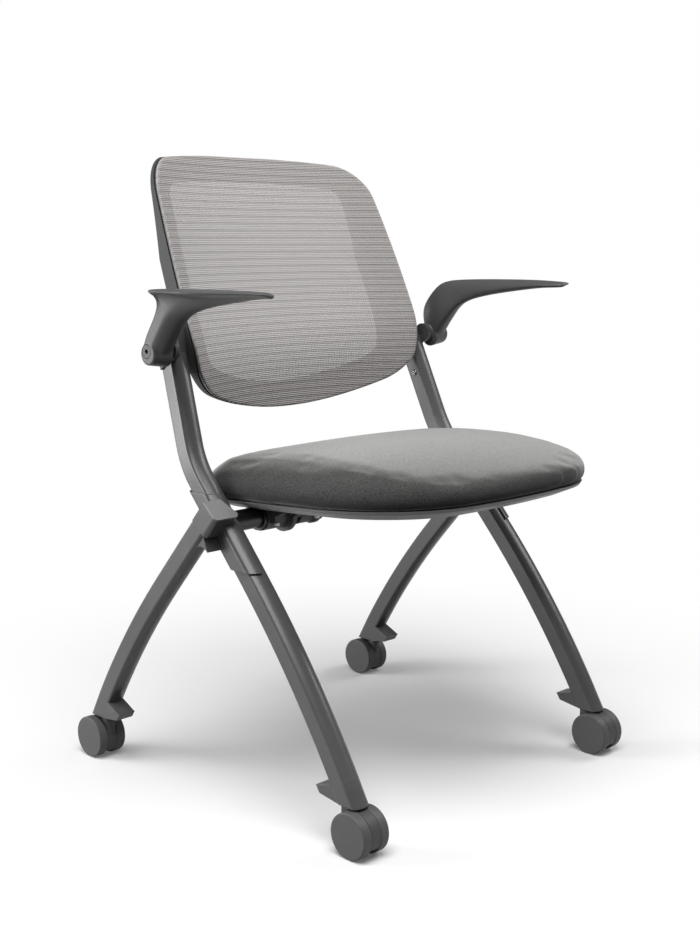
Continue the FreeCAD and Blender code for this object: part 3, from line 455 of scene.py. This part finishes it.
def freeze(piece):
    """Turn a piece's modifiers into its mesh."""
    graph = bpy.context.evaluated_depsgraph_get()
    graph.update()
    mesh = bpy.data.meshes.new_from_object(piece.evaluated_get(graph), depsgraph=graph)
    piece.modifiers.clear()
    piece.data = mesh
    return mesh


def smooth(mesh):
    """Shade all of a mesh's faces smooth."""
    mesh.polygons.foreach_set("use_smooth", [True] * len(mesh.polygons))


def melt(piece, cell):
    """Rebuild a piece in even faces from cells of a size."""
    grid = piece.modifiers.new("melt", "REMESH")
    grid.mode = "VOXEL"
    grid.voxel_size = cell


def ease(piece, rounds):
    """Soften a piece's form."""
    soft = piece.modifiers.new("ease", "SMOOTH")
    soft.factor = 0.5
    soft.iterations = rounds


def refine(piece, levels):
    """Divide a piece's faces into finer ones that round its form."""
    finer = piece.modifiers.new("refine", "SUBSURF")
    finer.levels = finer.render_levels = levels


# Stage

def floor_finish(studio):
    """Pale floor that keeps the shadow near the chair and turns plain white further out."""
    floor = Finish("studio_floor", roughness=0.95, Specular_IOR_Level=0.1)
    path = [floor.add("ShaderNodeLightPath", output=name)
            for name in ("Is Camera Ray", "Is Glossy Ray", "Is Transmission Ray")]
    seen = (path[0] + path[1] + path[2]) > 0.5
    place = floor.place()
    grain = floor.noise(place, 3.0, 2.0)
    plain = opaque(studio.floor_colour)
    shade = floor.blend(grain * 0.02, plain, scaled(studio.floor_colour, 0.97))
    floor.set(Base_Color=floor.blend(seen, opaque(studio.bounce_colour), shade))
    out = floor.add("ShaderNodeVectorMath", {"operation": "LENGTH"}, {0: place}, 1)
    far = floor.between(out, studio.floor_near, studio.floor_far)
    backdrop = floor.add("ShaderNodeEmission", None, {"Color": (1.0, 1.0, 1.0, 1.0)})
    shader = Wire(floor, floor.shader.outputs[0])
    mixed = floor.add("ShaderNodeMixShader", None, {0: far * seen, 1: shader, 2: backdrop})
    floor.tree.links.new(mixed.socket, floor.tree.nodes["Material Output"].inputs[0])
    return floor.material


def studio_sky(studio):
    """Even light all round that the camera sees as plain white."""
    world = bpy.data.worlds.new("studio_sky")
    bpy.context.scene.world = world
    world.use_nodes = True
    nodes, links = world.node_tree.nodes, world.node_tree.links
    nodes.clear()
    path = nodes.new("ShaderNodeLightPath")
    seen = nodes.new("ShaderNodeMath")
    seen.operation = "ADD"
    links.new(path.outputs["Is Camera Ray"], seen.inputs[0])
    links.new(path.outputs["Is Transmission Ray"], seen.inputs[1])
    lit = nodes.new("ShaderNodeBackground")
    lit.inputs["Strength"].default_value = studio.sky_strength
    shown = nodes.new("ShaderNodeBackground")
    mixed = nodes.new("ShaderNodeMixShader")
    links.new(seen.outputs[0], mixed.inputs[0])
    links.new(lit.outputs[0], mixed.inputs[1])
    links.new(shown.outputs[0], mixed.inputs[2])
    for background in (lit, shown):
        background.inputs["Color"].default_value = (1.0, 1.0, 1.0, 1.0)
    output = nodes.new("ShaderNodeOutputWorld")
    links.new(mixed.outputs[0], output.inputs[0])


# The lamps: name, setting of the power, place, point that it faces, width and height
LAMPS = (
    ("top_lamp", "top_power", (-0.9, -0.7, 2.7), (0.0, 0.0, 0.4), (1.9, 1.9)),
    ("left_lamp", "left_power", (-1.9, 1.7, 0.8), (0.0, 0.0, 0.6), (1.1, 1.3)),
    ("right_lamp", "right_power", (1.8, -0.9, 1.9), (0.0, 0.0, 0.4), (1.0, 1.4)),
)

FLOOR_RADIUS = 40.0
SENSOR_WIDTH = 36.0
NEAREST_SEEN, FURTHEST_SEEN = 0.05, 200.0


def add_lamp(name, power, place, target, size):
    """Hang a soft rectangular lamp that faces a point."""
    lamp = bpy.data.lights.new(name, "AREA")
    lamp.shape = "RECTANGLE"
    lamp.size, lamp.size_y = size
    lamp.energy = power
    holder = bpy.data.objects.new(name, lamp)
    bpy.context.scene.collection.objects.link(holder)
    holder.location = place
    holder.rotation_euler = (Vector(target) - Vector(place)).to_track_quat("-Z", "Y").to_euler()


class CHAIR_OT_stage(bpy.types.Operator):
    """Lay the floor, hang the lamps and set up the camera"""

    bl_idname = "chair.stage"
    bl_label = "Set Stage"

    def execute(self, context):
        studio = context.scene.chair_studio
        mesh = bpy.data.meshes.new("studio_floor")
        build = bmesh.new()
        bmesh.ops.create_circle(build, cap_ends=True, segments=96, radius=FLOOR_RADIUS)
        build.to_mesh(mesh)
        build.free()
        floor = bpy.data.objects.new("studio_floor", mesh)
        context.scene.collection.objects.link(floor)
        mesh.materials.append(floor_finish(studio))
        studio_sky(studio)
        for name, power, place, target, size in LAMPS:
            add_lamp(name, getattr(studio, power), place, target, size)
        lens = bpy.data.cameras.new("camera")
        lens.lens = studio.lens
        lens.sensor_width = SENSOR_WIDTH
        lens.clip_start, lens.clip_end = NEAREST_SEEN, FURTHEST_SEEN
        camera = bpy.data.objects.new("camera", lens)
        context.scene.collection.objects.link(camera)
        camera.location = studio.eye
        camera.rotation_euler = Euler((math.pi / 2 - studio.tip, 0.0, -studio.turn), "XYZ")
        context.scene.camera = camera
        context.scene.view_settings.view_transform = "Standard"
        return {"FINISHED"}


# Rigid parts

class CHAIR_OT_legs(bpy.types.Operator):
    """Powder coat the leg tubes, rear legs, caps and feet"""

    bl_idname = "chair.legs"
    bl_label = "Paint Legs"

    def execute(self, context):
        paint = context.scene.chair_paint
        coat = powder_coat("powder_coat", paint.coat_colour, paint)
        paint_nodes(coat, both("leg_tube", "rear_leg", "front_foot", "rear_foot"))
        cap = powder_coat("cap_coat", paint.cap_colour, paint)
        paint_nodes(cap, both("leg_cap"))
        return {"FINISHED"}


class CHAIR_OT_hinge(bpy.types.Operator):
    """Finish the cross tube, its collars and the seat's hinges"""

    bl_idname = "chair.hinge"
    bl_label = "Finish Seat Hinge"

    def execute(self, context):
        paint = context.scene.chair_paint
        black = moulded("bearing_plastic", paint.black_and_shadow_colour, paint, 0.34)
        paint_nodes(black, both("cross_tube_collar"))
        # Painted shadow: the cross tube lies in the seat's shadow and gets a near-black coat that
        # stands in for it; the seat stop tabs take the same coat
        painted_shadow_coat = powder_coat("cross_tube_coat", paint.black_and_shadow_colour, paint)
        paint_nodes(painted_shadow_coat, ["cross_tube"] + both("seat_stop_tab"))
        bracket = moulded("hinge_plastic", scaled(paint.plastic_colour, 0.8), paint)
        paint_nodes(bracket, both("seat_hinge_bracket", "seat_hinge_cap"))
        steel = bright_steel("screw_steel", paint.steel_colour, paint)
        paint_nodes(steel, ["seat_hinge_screws", "back_frame_screws"])
        return {"FINISHED"}


# Arms, drawn about the bolt in millimetres, with x outwards from the arm's inner face

MM = 1000.0

# Most that the rounded parts of a section take up: the lip's height, the edge of the top over it,
# the hollow under it, the shoulder inside, the underside's outer edge and its inner edge
LIP = 6.0
TOP_EDGE = 4.0
HOLLOW = 8.0
SHOULDER_HEIGHT, SHOULDER_WIDTH = 12.0, 11.0
KEEL = 11.0
INNER_EDGE = 6.0

# The round lower end, as centres (y, z) and sizes about the bolt
BOLT = (0.0, 0.0)
HUB_CENTRE, HUB_BEVEL, HUB_RISE = (-1.6, -3.6), 1.2, 0.1
HEEL_CENTRE, HEEL_BEVEL = (-2.5, -5.5), 1.5
SPACER_GRIP = 1.0
BORE_RADIUS = 4.4
OVERSHOOT = 5.0
FACES_ROUND = 64

# How near a bracket's rim a point is taken to lie on it, in metres
RIM_FIT = 0.0004

# Stations from the hub to the tip: the back outer, back inner, front outer and front inner points
# as (y, z), then the inner, outer and lip x
ARM_STATIONS = (
    ((7.5, 3.0), (7.5, 3.0), (-9.0, -8.0), (-9.0, -8.0), 9.0, 35.0, 35.0),
    ((11.0, 5.5), (14.5, 8.0), (-13.8, -10.5), (-14.5, -11.0), 6.5, 37.4, 37.4),
    ((3.5, 20.5), (17.5, 24.0), (-21.8, 1.0), (-21.5, 0.0), 4.5, 37.6, 37.6),
    ((-4.5, 32.0), (17.5, 38.5), (-30.5, 13.2), (-30.0, 11.5), 3.8, 37.6, 37.6),
    ((-13.0, 43.5), (11.5, 51.0), (-39.5, 24.4), (-39.0, 22.0), 4.0, 37.6, 37.7),
    ((-20.5, 55.0), (3.5, 61.5), (-48.0, 35.6), (-48.5, 33.0), 5.0, 37.6, 38.0),
    ((-25.5, 67.0), (-5.5, 71.0), (-56.0, 43.0), (-57.0, 40.0), 6.0, 37.6, 39.5),
    ((-24.0, 76.5), (-13.0, 77.0), (-61.0, 47.0), (-62.5, 44.0), 7.0, 37.6, 43.0),
    ((-17.0, 81.0), (-23.0, 81.0), (-67.0, 51.0), (-69.0, 47.0), 8.0, 37.6, 50.0),
    ((-36.0, 84.2), (-40.0, 84.0), (-77.0, 56.0), (-79.0, 51.5), 9.0, 37.6, 61.0),
    ((-72.0, 84.9), (-75.0, 85.0), (-96.0, 61.5), (-98.0, 56.5), 10.0, 37.6, 80.0),
    ((-113.0, 85.2), (-115.0, 85.5), (-126.0, 66.7), (-127.0, 62.0), 10.0, 37.6, 92.0),
    ((-151.0, 85.3), (-152.0, 85.5), (-157.0, 70.5), (-157.0, 66.5), 10.0, 37.6, 92.5),
    ((-186.0, 85.2), (-186.0, 85.4), (-188.0, 74.0), (-188.0, 71.0), 11.0, 37.3, 79.0),
    ((-213.0, 84.8), (-213.0, 85.0), (-214.5, 76.4), (-214.5, 74.6), 15.0, 37.0, 66.0),
    ((-232.0, 84.4), (-232.0, 84.6), (-233.5, 76.4), (-233.5, 75.6), 20.0, 38.0, 57.5),
    ((-243.5, 84.0), (-243.5, 84.2), (-244.5, 76.6), (-244.5, 76.2), 25.5, 39.0, 52.0),
    ((-247.5, 82.8), (-247.5, 83.0), (-248.0, 77.6), (-248.0, 77.4), 30.0, 40.0, 48.0),
)


def arm_ring(station):
    """Twelve points round one section of an arm: inner top, lip, keel and back along the inside."""
    back_out, back_in, front_out, front_in = (Vector(point) for point in station[:4])
    inner, outer, lip = station[4:]
    down_out, down_in = front_out - back_out, front_in - back_in
    deep_out, deep_in = down_out.length, down_in.length
    down_out, down_in = down_out.normalized(), down_in.normalized()
    flare = lip - outer
    thick = min(LIP, 0.45 * deep_out)
    turn = min(SHOULDER_HEIGHT, 0.42 * deep_in)
    keel = min(KEEL, 0.35 * deep_out)
    ring = [(inner, back_in + down_in * turn),
            (inner + min(SHOULDER_WIDTH, 0.28 * (lip - inner)), back_in),
            ((inner + lip) / 2, (back_in + back_out) / 2),
            (lip - min(TOP_EDGE, 0.2 * (lip - inner)), back_out),
            (lip, back_out + down_out * thick * 0.3),
            (lip - 0.03 * flare, back_out + down_out * thick),
            (outer + 0.5 * flare, back_out + down_out * (thick + 0.03 * flare)),
            (outer + 0.08 * flare, back_out + down_out * min(thick + HOLLOW, 0.7 * deep_out)),
            (outer, front_out - down_out * keel),
            (outer - min(KEEL, 0.3 * (outer - inner)), front_out),
            (inner + min(INNER_EDGE, 0.25 * (outer - inner)), front_in),
            (inner, front_in - down_in * min(INNER_EDGE, 0.3 * deep_in))]
    return [Vector((x, point.x, point.y)) for x, point in ring]


def closed_skin(build, rings):
    """Faces between neighbouring rings of points, with the first and last ring closed."""
    rows = [[build.verts.new(point) for point in ring] for ring in rings]
    for near, far in zip(rows, rows[1:]):
        for k in range(len(near)):
            n = (k + 1) % len(near)
            build.faces.new((near[k], near[n], far[n], far[k]))
    build.faces.new(list(reversed(rows[0])))
    build.faces.new(rows[-1])


def circle(x, centre, radius):
    """Points round a circle across the arm."""
    turns = [2 * math.pi * k / FACES_ROUND for k in range(FACES_ROUND)]
    return [(x, centre[0] + radius * math.cos(turn), centre[1] + radius * math.sin(turn))
            for turn in turns]


def helper_solid(name, rings):
    """A helper object, drawn in millimetres as a closed skin over rings of points."""
    build = bmesh.new()
    closed_skin(build, rings)
    bmesh.ops.recalc_face_normals(build, faces=build.faces)
    mesh = bpy.data.meshes.new(name)
    build.to_mesh(mesh)
    build.free()
    helper = bpy.data.objects.new(name, mesh)
    bpy.context.scene.collection.objects.link(helper)
    return helper


def combine(piece, operation, other):
    """Join a piece with another solid, or cut the solid out of it."""
    step = piece.modifiers.new("combine", "BOOLEAN")
    step.operation = operation
    step.object = other


def moulded_arm(arms):
    """One arm about its pivot: stem, hub and spacer melted together, then bored for its bolt."""
    outer = ARM_STATIONS[3][5] + HUB_RISE
    inner = ARM_STATIONS[1][4]
    grip = inner + SPACER_GRIP
    floor = outer - arms.seat_depth * MM
    hub_radius, heel_radius = arms.hub_radius * MM, arms.heel_radius * MM
    spacer_radius, seat_radius = arms.spacer_radius * MM, arms.seat_radius * MM
    stem = helper_solid("arm_stem", [arm_ring(station) for station in ARM_STATIONS])
    hub = helper_solid("arm_hub", [
        circle(0.0, BOLT, spacer_radius),
        circle(grip, BOLT, spacer_radius),
        circle(grip, HEEL_CENTRE, heel_radius - HEEL_BEVEL),
        circle(grip + HEEL_BEVEL, HEEL_CENTRE, heel_radius),
        circle(outer - HUB_BEVEL, HUB_CENTRE, hub_radius),
        circle(outer, HUB_CENTRE, hub_radius - HUB_BEVEL)])
    bore = helper_solid("arm_bore", [
        circle(-OVERSHOOT, BOLT, BORE_RADIUS),
        circle(floor, BOLT, BORE_RADIUS),
        circle(floor, BOLT, seat_radius),
        circle(outer + OVERSHOOT, BOLT, seat_radius)])
    refine(stem, 3)
    combine(stem, "UNION", hub)
    melt(stem, arms.grid * MM * (1.0))
    ease(stem, 4)
    combine(stem, "DIFFERENCE", bore)
    mesh = freeze(stem)
    for helper in (stem, hub, bore):
        bpy.data.objects.remove(helper)
    return mesh


def arm_pivot(side):
    """The middle of an arm's bolt."""
    near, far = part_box(side + "_arm_bolt")
    return (near + far) / 2


def arm_at(draft, side):
    """The drafted arm carried to its pivot on one side of the chair, in metres."""
    low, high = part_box(side + "_arm")
    sign = 1.0 if side == "right" else -1.0
    inner = min(abs(low.x), abs(high.x))
    pivot = arm_pivot(side)
    build = bmesh.new()
    build.from_mesh(draft)
    for vertex in build.verts:
        x, y, z = vertex.co / MM
        vertex.co = (sign * (inner + x), pivot.y + y, pivot.z + z)
    bmesh.ops.recalc_face_normals(build, faces=build.faces)
    mesh = bpy.data.meshes.new(side + "_arm_moulding")
    build.to_mesh(mesh)
    build.free()
    smooth(mesh)
    return mesh


def slim_bracket(side, radius):
    """Copy of the arm's bracket with the smaller round boss that the eye sees."""
    pivot = arm_pivot(side)
    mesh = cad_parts[side + "_arm_bracket"].data.copy()
    rim = max(math.hypot(v.co.y - pivot.y, v.co.z - pivot.z) for v in mesh.vertices
              if v.co.z < pivot.z and v.co.y < pivot.y)
    for vertex in mesh.vertices:
        across = Vector((vertex.co.y - pivot.y, vertex.co.z - pivot.z))
        if abs(across.length - rim) < RIM_FIT:
            across *= radius / across.length
            vertex.co = (vertex.co.x, pivot.y + across.x, pivot.z + across.y)
    mesh.update()
    return mesh


class CHAIR_OT_arms(bpy.types.Operator):
    """Mould the arms in grained plastic, with their brackets and bolts"""

    bl_idname = "chair.arms"
    bl_label = "Finish Arms"

    def execute(self, context):
        paint, arms = context.scene.chair_paint, context.scene.chair_arms
        plastic = moulded("arm_plastic", paint.plastic_colour, paint, 0.44)
        boss = moulded("boss_plastic", scaled(paint.plastic_colour, 0.8), paint)
        draft = moulded_arm(arms)
        for side in ("left", "right"):
            mesh = arm_at(draft, side)
            arm = add_piece(side + "_arm_moulding", mesh, plastic)
            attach(arm, "arm_" + side)
            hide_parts(side + "_arm")
            mesh = slim_bracket(side, arms.boss_radius)
            bracket = add_piece(side + "_arm_boss", mesh, boss)
            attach(bracket, "frame")
            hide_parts(side + "_arm_bracket")
        bolt = moulded("bolt_coat", scaled(paint.plastic_colour, 0.7), paint)
        paint_nodes(bolt, both("arm_bolt"))
        return {"FINISHED"}


def casters(*names):
    """The nodes of these names on all four casters."""
    ends = ("front_caster_", "rear_caster_")
    return both(*[end + name for end in ends for name in names])


class CHAIR_OT_casters(bpy.types.Operator):
    """Finish the casters' wheels, housings, stems and axles"""

    bl_idname = "chair.casters"
    bl_label = "Finish Casters"

    def execute(self, context):
        paint = context.scene.chair_paint
        wheel = moulded("wheel_plastic", paint.wheel_colour, paint, 0.5)
        housing = moulded("housing_plastic", scaled(paint.wheel_colour, 0.75), paint, 0.5)
        steel = bright_steel("stem_steel", paint.steel_colour, paint)
        paint_nodes(wheel, casters("outer_wheel", "inner_wheel"))
        paint_nodes(housing, casters("housing"))
        paint_nodes(steel, casters("stem", "axle"))
        return {"FINISHED"}


class CHAIR_OT_shells(bpy.types.Operator):
    """Finish the seat pan with its board, and the back's shell and carrier"""

    bl_idname = "chair.shells"
    bl_label = "Finish Shells"

    def execute(self, context):
        paint = context.scene.chair_paint
        shell = moulded("shell_plastic", scaled(paint.plastic_colour, 0.85), paint, 0.55, 0.22)
        paint_nodes(shell, ["back_frame"])
        paint_nodes(moulded("pan_plastic", paint.pan_colour, paint), ["seat_shell"])
        carrier = moulded("carrier_plastic", scaled(paint.plastic_colour, 0.9), paint)
        paint_nodes(carrier, ["back_mesh_carrier"])
        paint_nodes(plywood("seat_plywood", paint.board_colour, paint), ["seat_board"])
        return {"FINISHED"}


# Soft parts

# The cover is held up to this height over its base, and free at twice this height, in metres
HELD_RISE = 0.02


def swell(piece, seat):
    """Press a cushion's foam against its cover, which is held near the base."""
    rest = [v.co.copy() for v in piece.data.vertices]
    low = min(point.z for point in rest)
    held = piece.vertex_groups.new(name="held")
    for index, point in enumerate(rest):
        near_base = 1.0 - min(1.0, max(0.0, (point.z - low - HELD_RISE) / HELD_RISE))
        held.add([index], near_base, "REPLACE")
    cover = piece.modifiers.new("cover", "CLOTH")
    cover.settings.quality = 5
    cover.settings.mass = 0.35
    cover.settings.use_pressure = True
    cover.settings.uniform_pressure_force = seat.puff
    cover.settings.effector_weights.gravity = 0.0
    cover.settings.vertex_group_mass = "held"
    scene = bpy.context.scene
    for step in range(1, seat.steps + 1):
        scene.frame_set(step)
    graph = bpy.context.evaluated_depsgraph_get()
    swelled = bpy.data.meshes.new_from_object(piece.evaluated_get(graph), depsgraph=graph)
    piece.modifiers.clear()
    for vertex, before, after in zip(piece.data.vertices, rest, swelled.vertices):
        shift = after.co - before
        if shift.length > seat.most_puff:
            shift = shift.normalized() * seat.most_puff
        vertex.co = before + shift
    scene.frame_set(1)
    piece.vertex_groups.clear()


def foam_cover(source, seat, simulate):
    """Mesh of a cushion: the foam's form rebuilt in even faces and swelled against its cover."""
    piece = bpy.data.objects.new("seat_cover_draft", source.data.copy())
    bpy.context.scene.collection.objects.link(piece)
    melt(piece, seat.foam_grid)
    ease(piece, 2)
    freeze(piece)
    if simulate:
        swell(piece, seat)
        ease(piece, 5)
    refine(piece, 1)
    mesh = freeze(piece)
    bpy.data.objects.remove(piece)
    return mesh


class CHAIR_OT_seat_cushion(bpy.types.Operator):
    """Upholster the seat: a crowned cushion in a heathered woven cover"""

    bl_idname = "chair.seat_cushion"
    bl_label = "Upholster Seat"

    def execute(self, context):
        seat = context.scene.chair_seat
        mesh = foam_cover(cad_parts["seat_cushion"], seat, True)
        smooth(mesh)
        cloth = seat_cloth("seat_cloth", seat)
        piece = add_piece("seat_upholstery", mesh, cloth)
        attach(piece, "seat")
        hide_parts("seat_cushion")
        return {"FINISHED"}


# Insets and depths of the rings that carry the mesh round its edge, the inset of the last ring,
# and how far the cloth lies behind the front that the sizes describe, all in metres
EDGE_FOLD = ((0.0012, 0.0), (0.0005, 0.0006), (0.0002, 0.0016))
WRAP_INSET = 0.0003
SKIN = 0.0002

# Below the first, a ray runs along an outline's side; the second keeps it from slipping between two
NEARLY_ALONG = 1e-9
JOIN_FIT = 1e-6


def ray_share(ray, start, end):
    """How far along a ray from the middle it meets a line, or 0 where it misses it."""
    side = end - start
    across = ray.x * side.y - ray.y * side.x
    if abs(across) < NEARLY_ALONG:
        return 0.0
    along_ray = (start.x * side.y - start.y * side.x) / across
    along_side = (start.x * ray.y - start.y * ray.x) / across
    hit = along_ray > 0 and -JOIN_FIT <= along_side <= 1 + JOIN_FIT
    return along_ray if hit else 0.0


def outline_of(node, spokes):
    """Front view outline of a node as evenly spaced points round its middle."""
    points = [(v.co.x, v.co.z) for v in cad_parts[node].data.vertices]
    hull = [points[k] for k in convex_hull_2d(points)]
    centre = Vector((0.0, (min(p[1] for p in hull) + max(p[1] for p in hull)) / 2))
    corners = [Vector(corner) - centre for corner in hull]
    spots = []
    for k in range(spokes):
        turn = 2.0 * math.pi * k / spokes
        ray = Vector((math.cos(turn), math.sin(turn)))
        sides = zip(corners, corners[1:] + corners[:1])
        spots.append(ray * max(ray_share(ray, start, end) for start, end in sides))
    return centre, spots


def back_line(back, height):
    """Depth of the mesh's front in the middle plane, and the length of cloth up to there."""
    start = back.bend_height
    centre = back.front + back.bend_radius
    end = start + back.bend_radius * math.sin(back.lean)
    if height <= start:
        return back.front, height - start
    if height <= end:
        turn = math.asin((height - start) / back.bend_radius)
        return centre - back.bend_radius * math.cos(turn), back.bend_radius * turn
    depth = centre - back.bend_radius * math.cos(back.lean) + (height - end) * math.tan(back.lean)
    return depth, back.bend_radius * back.lean + (height - end) / math.cos(back.lean)


def back_point(back, across, height, depth):
    """A point a depth behind the bowed front, with its place on the flat cloth."""
    middle, length = back_line(back, height)
    bow = back.bow_radius - math.sqrt(back.bow_radius ** 2 - across ** 2)
    width = back.bow_radius * math.asin(across / back.bow_radius)
    return Vector((across, middle - bow + depth, height)), (width, length)


def stretched_mesh(back):
    """The back's mesh as one sheet, with its edge folded round the carrier."""
    centre, spots = outline_of("back_mesh", back.spokes)
    rings = [(k / back.rings, 0.0, 0.0) for k in range(1, back.rings)]
    rings += [(1.0, inset, depth) for inset, depth in EDGE_FOLD]
    rings.append((1.0, WRAP_INSET, back.wrap))
    build = bmesh.new()
    flat = build.loops.layers.uv.new("Knit")
    marks = {}

    def vertex(share, inset, depth, spot):
        inward = 1.0 - inset / spot.length
        at = centre + spot * share * inward
        point, cloth = back_point(back, at.x, at.y, depth + SKIN)
        made = build.verts.new(point)
        marks[made] = (cloth[0], cloth[1] + depth)
        return made

    middle = vertex(0.0, 0.0, 0.0, spots[0])
    rows = [[vertex(share, inset, depth, spot) for spot in spots] for share, inset, depth in rings]
    for a, b in zip(rows[0], rows[0][1:] + rows[0][:1]):
        build.faces.new((middle, a, b))
    for inner, outer in zip(rows, rows[1:]):
        for k in range(len(inner)):
            n = (k + 1) % len(inner)
            build.faces.new((inner[k], outer[k], outer[n], inner[n]))
    for face in build.faces:
        face.smooth = True
        for loop in face.loops:
            loop[flat].uv = marks[loop.vert]
    mesh = bpy.data.meshes.new("back_knit")
    build.to_mesh(mesh)
    build.free()
    return mesh


class CHAIR_OT_back_mesh(bpy.types.Operator):
    """Stretch the knitted mesh over the back's carrier"""

    bl_idname = "chair.back_mesh"
    bl_label = "Stretch Back Mesh"

    def execute(self, context):
        back = context.scene.chair_back
        mesh = stretched_mesh(back)
        piece = add_piece("back_knit", mesh, open_mesh("back_knit", back))
        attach(piece, "frame")
        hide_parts("back_mesh")
        low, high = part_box("back_mesh")
        rise = back_line(back, high.z)[1] - back_line(back, low.z)[1]
        area = sum(face.area for face in mesh.polygons)
        width = 2.0 * back.bow_radius * math.asin(high.x / back.bow_radius) + 2.0 * back.wrap
        rise + 2.0 * back.wrap
        min(area, width * (rise + 2.0 * back.wrap))
        return {"FINISHED"}


class CHAIR_PT_chair(bpy.types.Panel):
    """Sizes and colours of the chair, with a button for each group of pieces"""

    bl_idname = "CHAIR_PT_chair"
    bl_label = "Nesting Chair"
    bl_space_type = "VIEW_3D"
    bl_region_type = "UI"
    bl_category = "Chair"

    def draw(self, context):
        for group in SETTINGS:
            settings = getattr(context.scene, group)
            box = self.layout.box()
            box.label(text=type(settings).__doc__)
            for name in type(settings).__annotations__:
                box.prop(settings, name)
        for operator in OPERATORS:
            self.layout.operator(operator.bl_idname)


SETTINGS = {"chair_studio": ChairStudio, "chair_paint": ChairPaint, "chair_arms": ChairArms,
            "chair_seat": ChairSeat, "chair_back": ChairBack}
OPERATORS = (CHAIR_OT_stage, CHAIR_OT_legs, CHAIR_OT_hinge, CHAIR_OT_arms, CHAIR_OT_casters,
             CHAIR_OT_shells, CHAIR_OT_seat_cushion, CHAIR_OT_back_mesh)


def register():
    for settings in SETTINGS.values():
        bpy.utils.register_class(settings)
    for operator in OPERATORS:
        bpy.utils.register_class(operator)
    bpy.utils.register_class(CHAIR_PT_chair)
    for name, settings in SETTINGS.items():
        setattr(bpy.types.Scene, name, PointerProperty(type=settings))


def unregister():
    for name in SETTINGS:
        delattr(bpy.types.Scene, name)
    bpy.utils.unregister_class(CHAIR_PT_chair)
    for operator in reversed(OPERATORS):
        bpy.utils.unregister_class(operator)
    for settings in reversed(list(SETTINGS.values())):
        bpy.utils.unregister_class(settings)


def main():
    register()
    bpy.ops.chair.stage()
    bpy.ops.chair.legs()
    bpy.ops.chair.hinge()
    bpy.ops.chair.arms()
    bpy.ops.chair.casters()
    bpy.ops.chair.shells()
    bpy.ops.chair.seat_cushion()
    bpy.ops.chair.back_mesh()


if __name__ == "__main__":
    main()
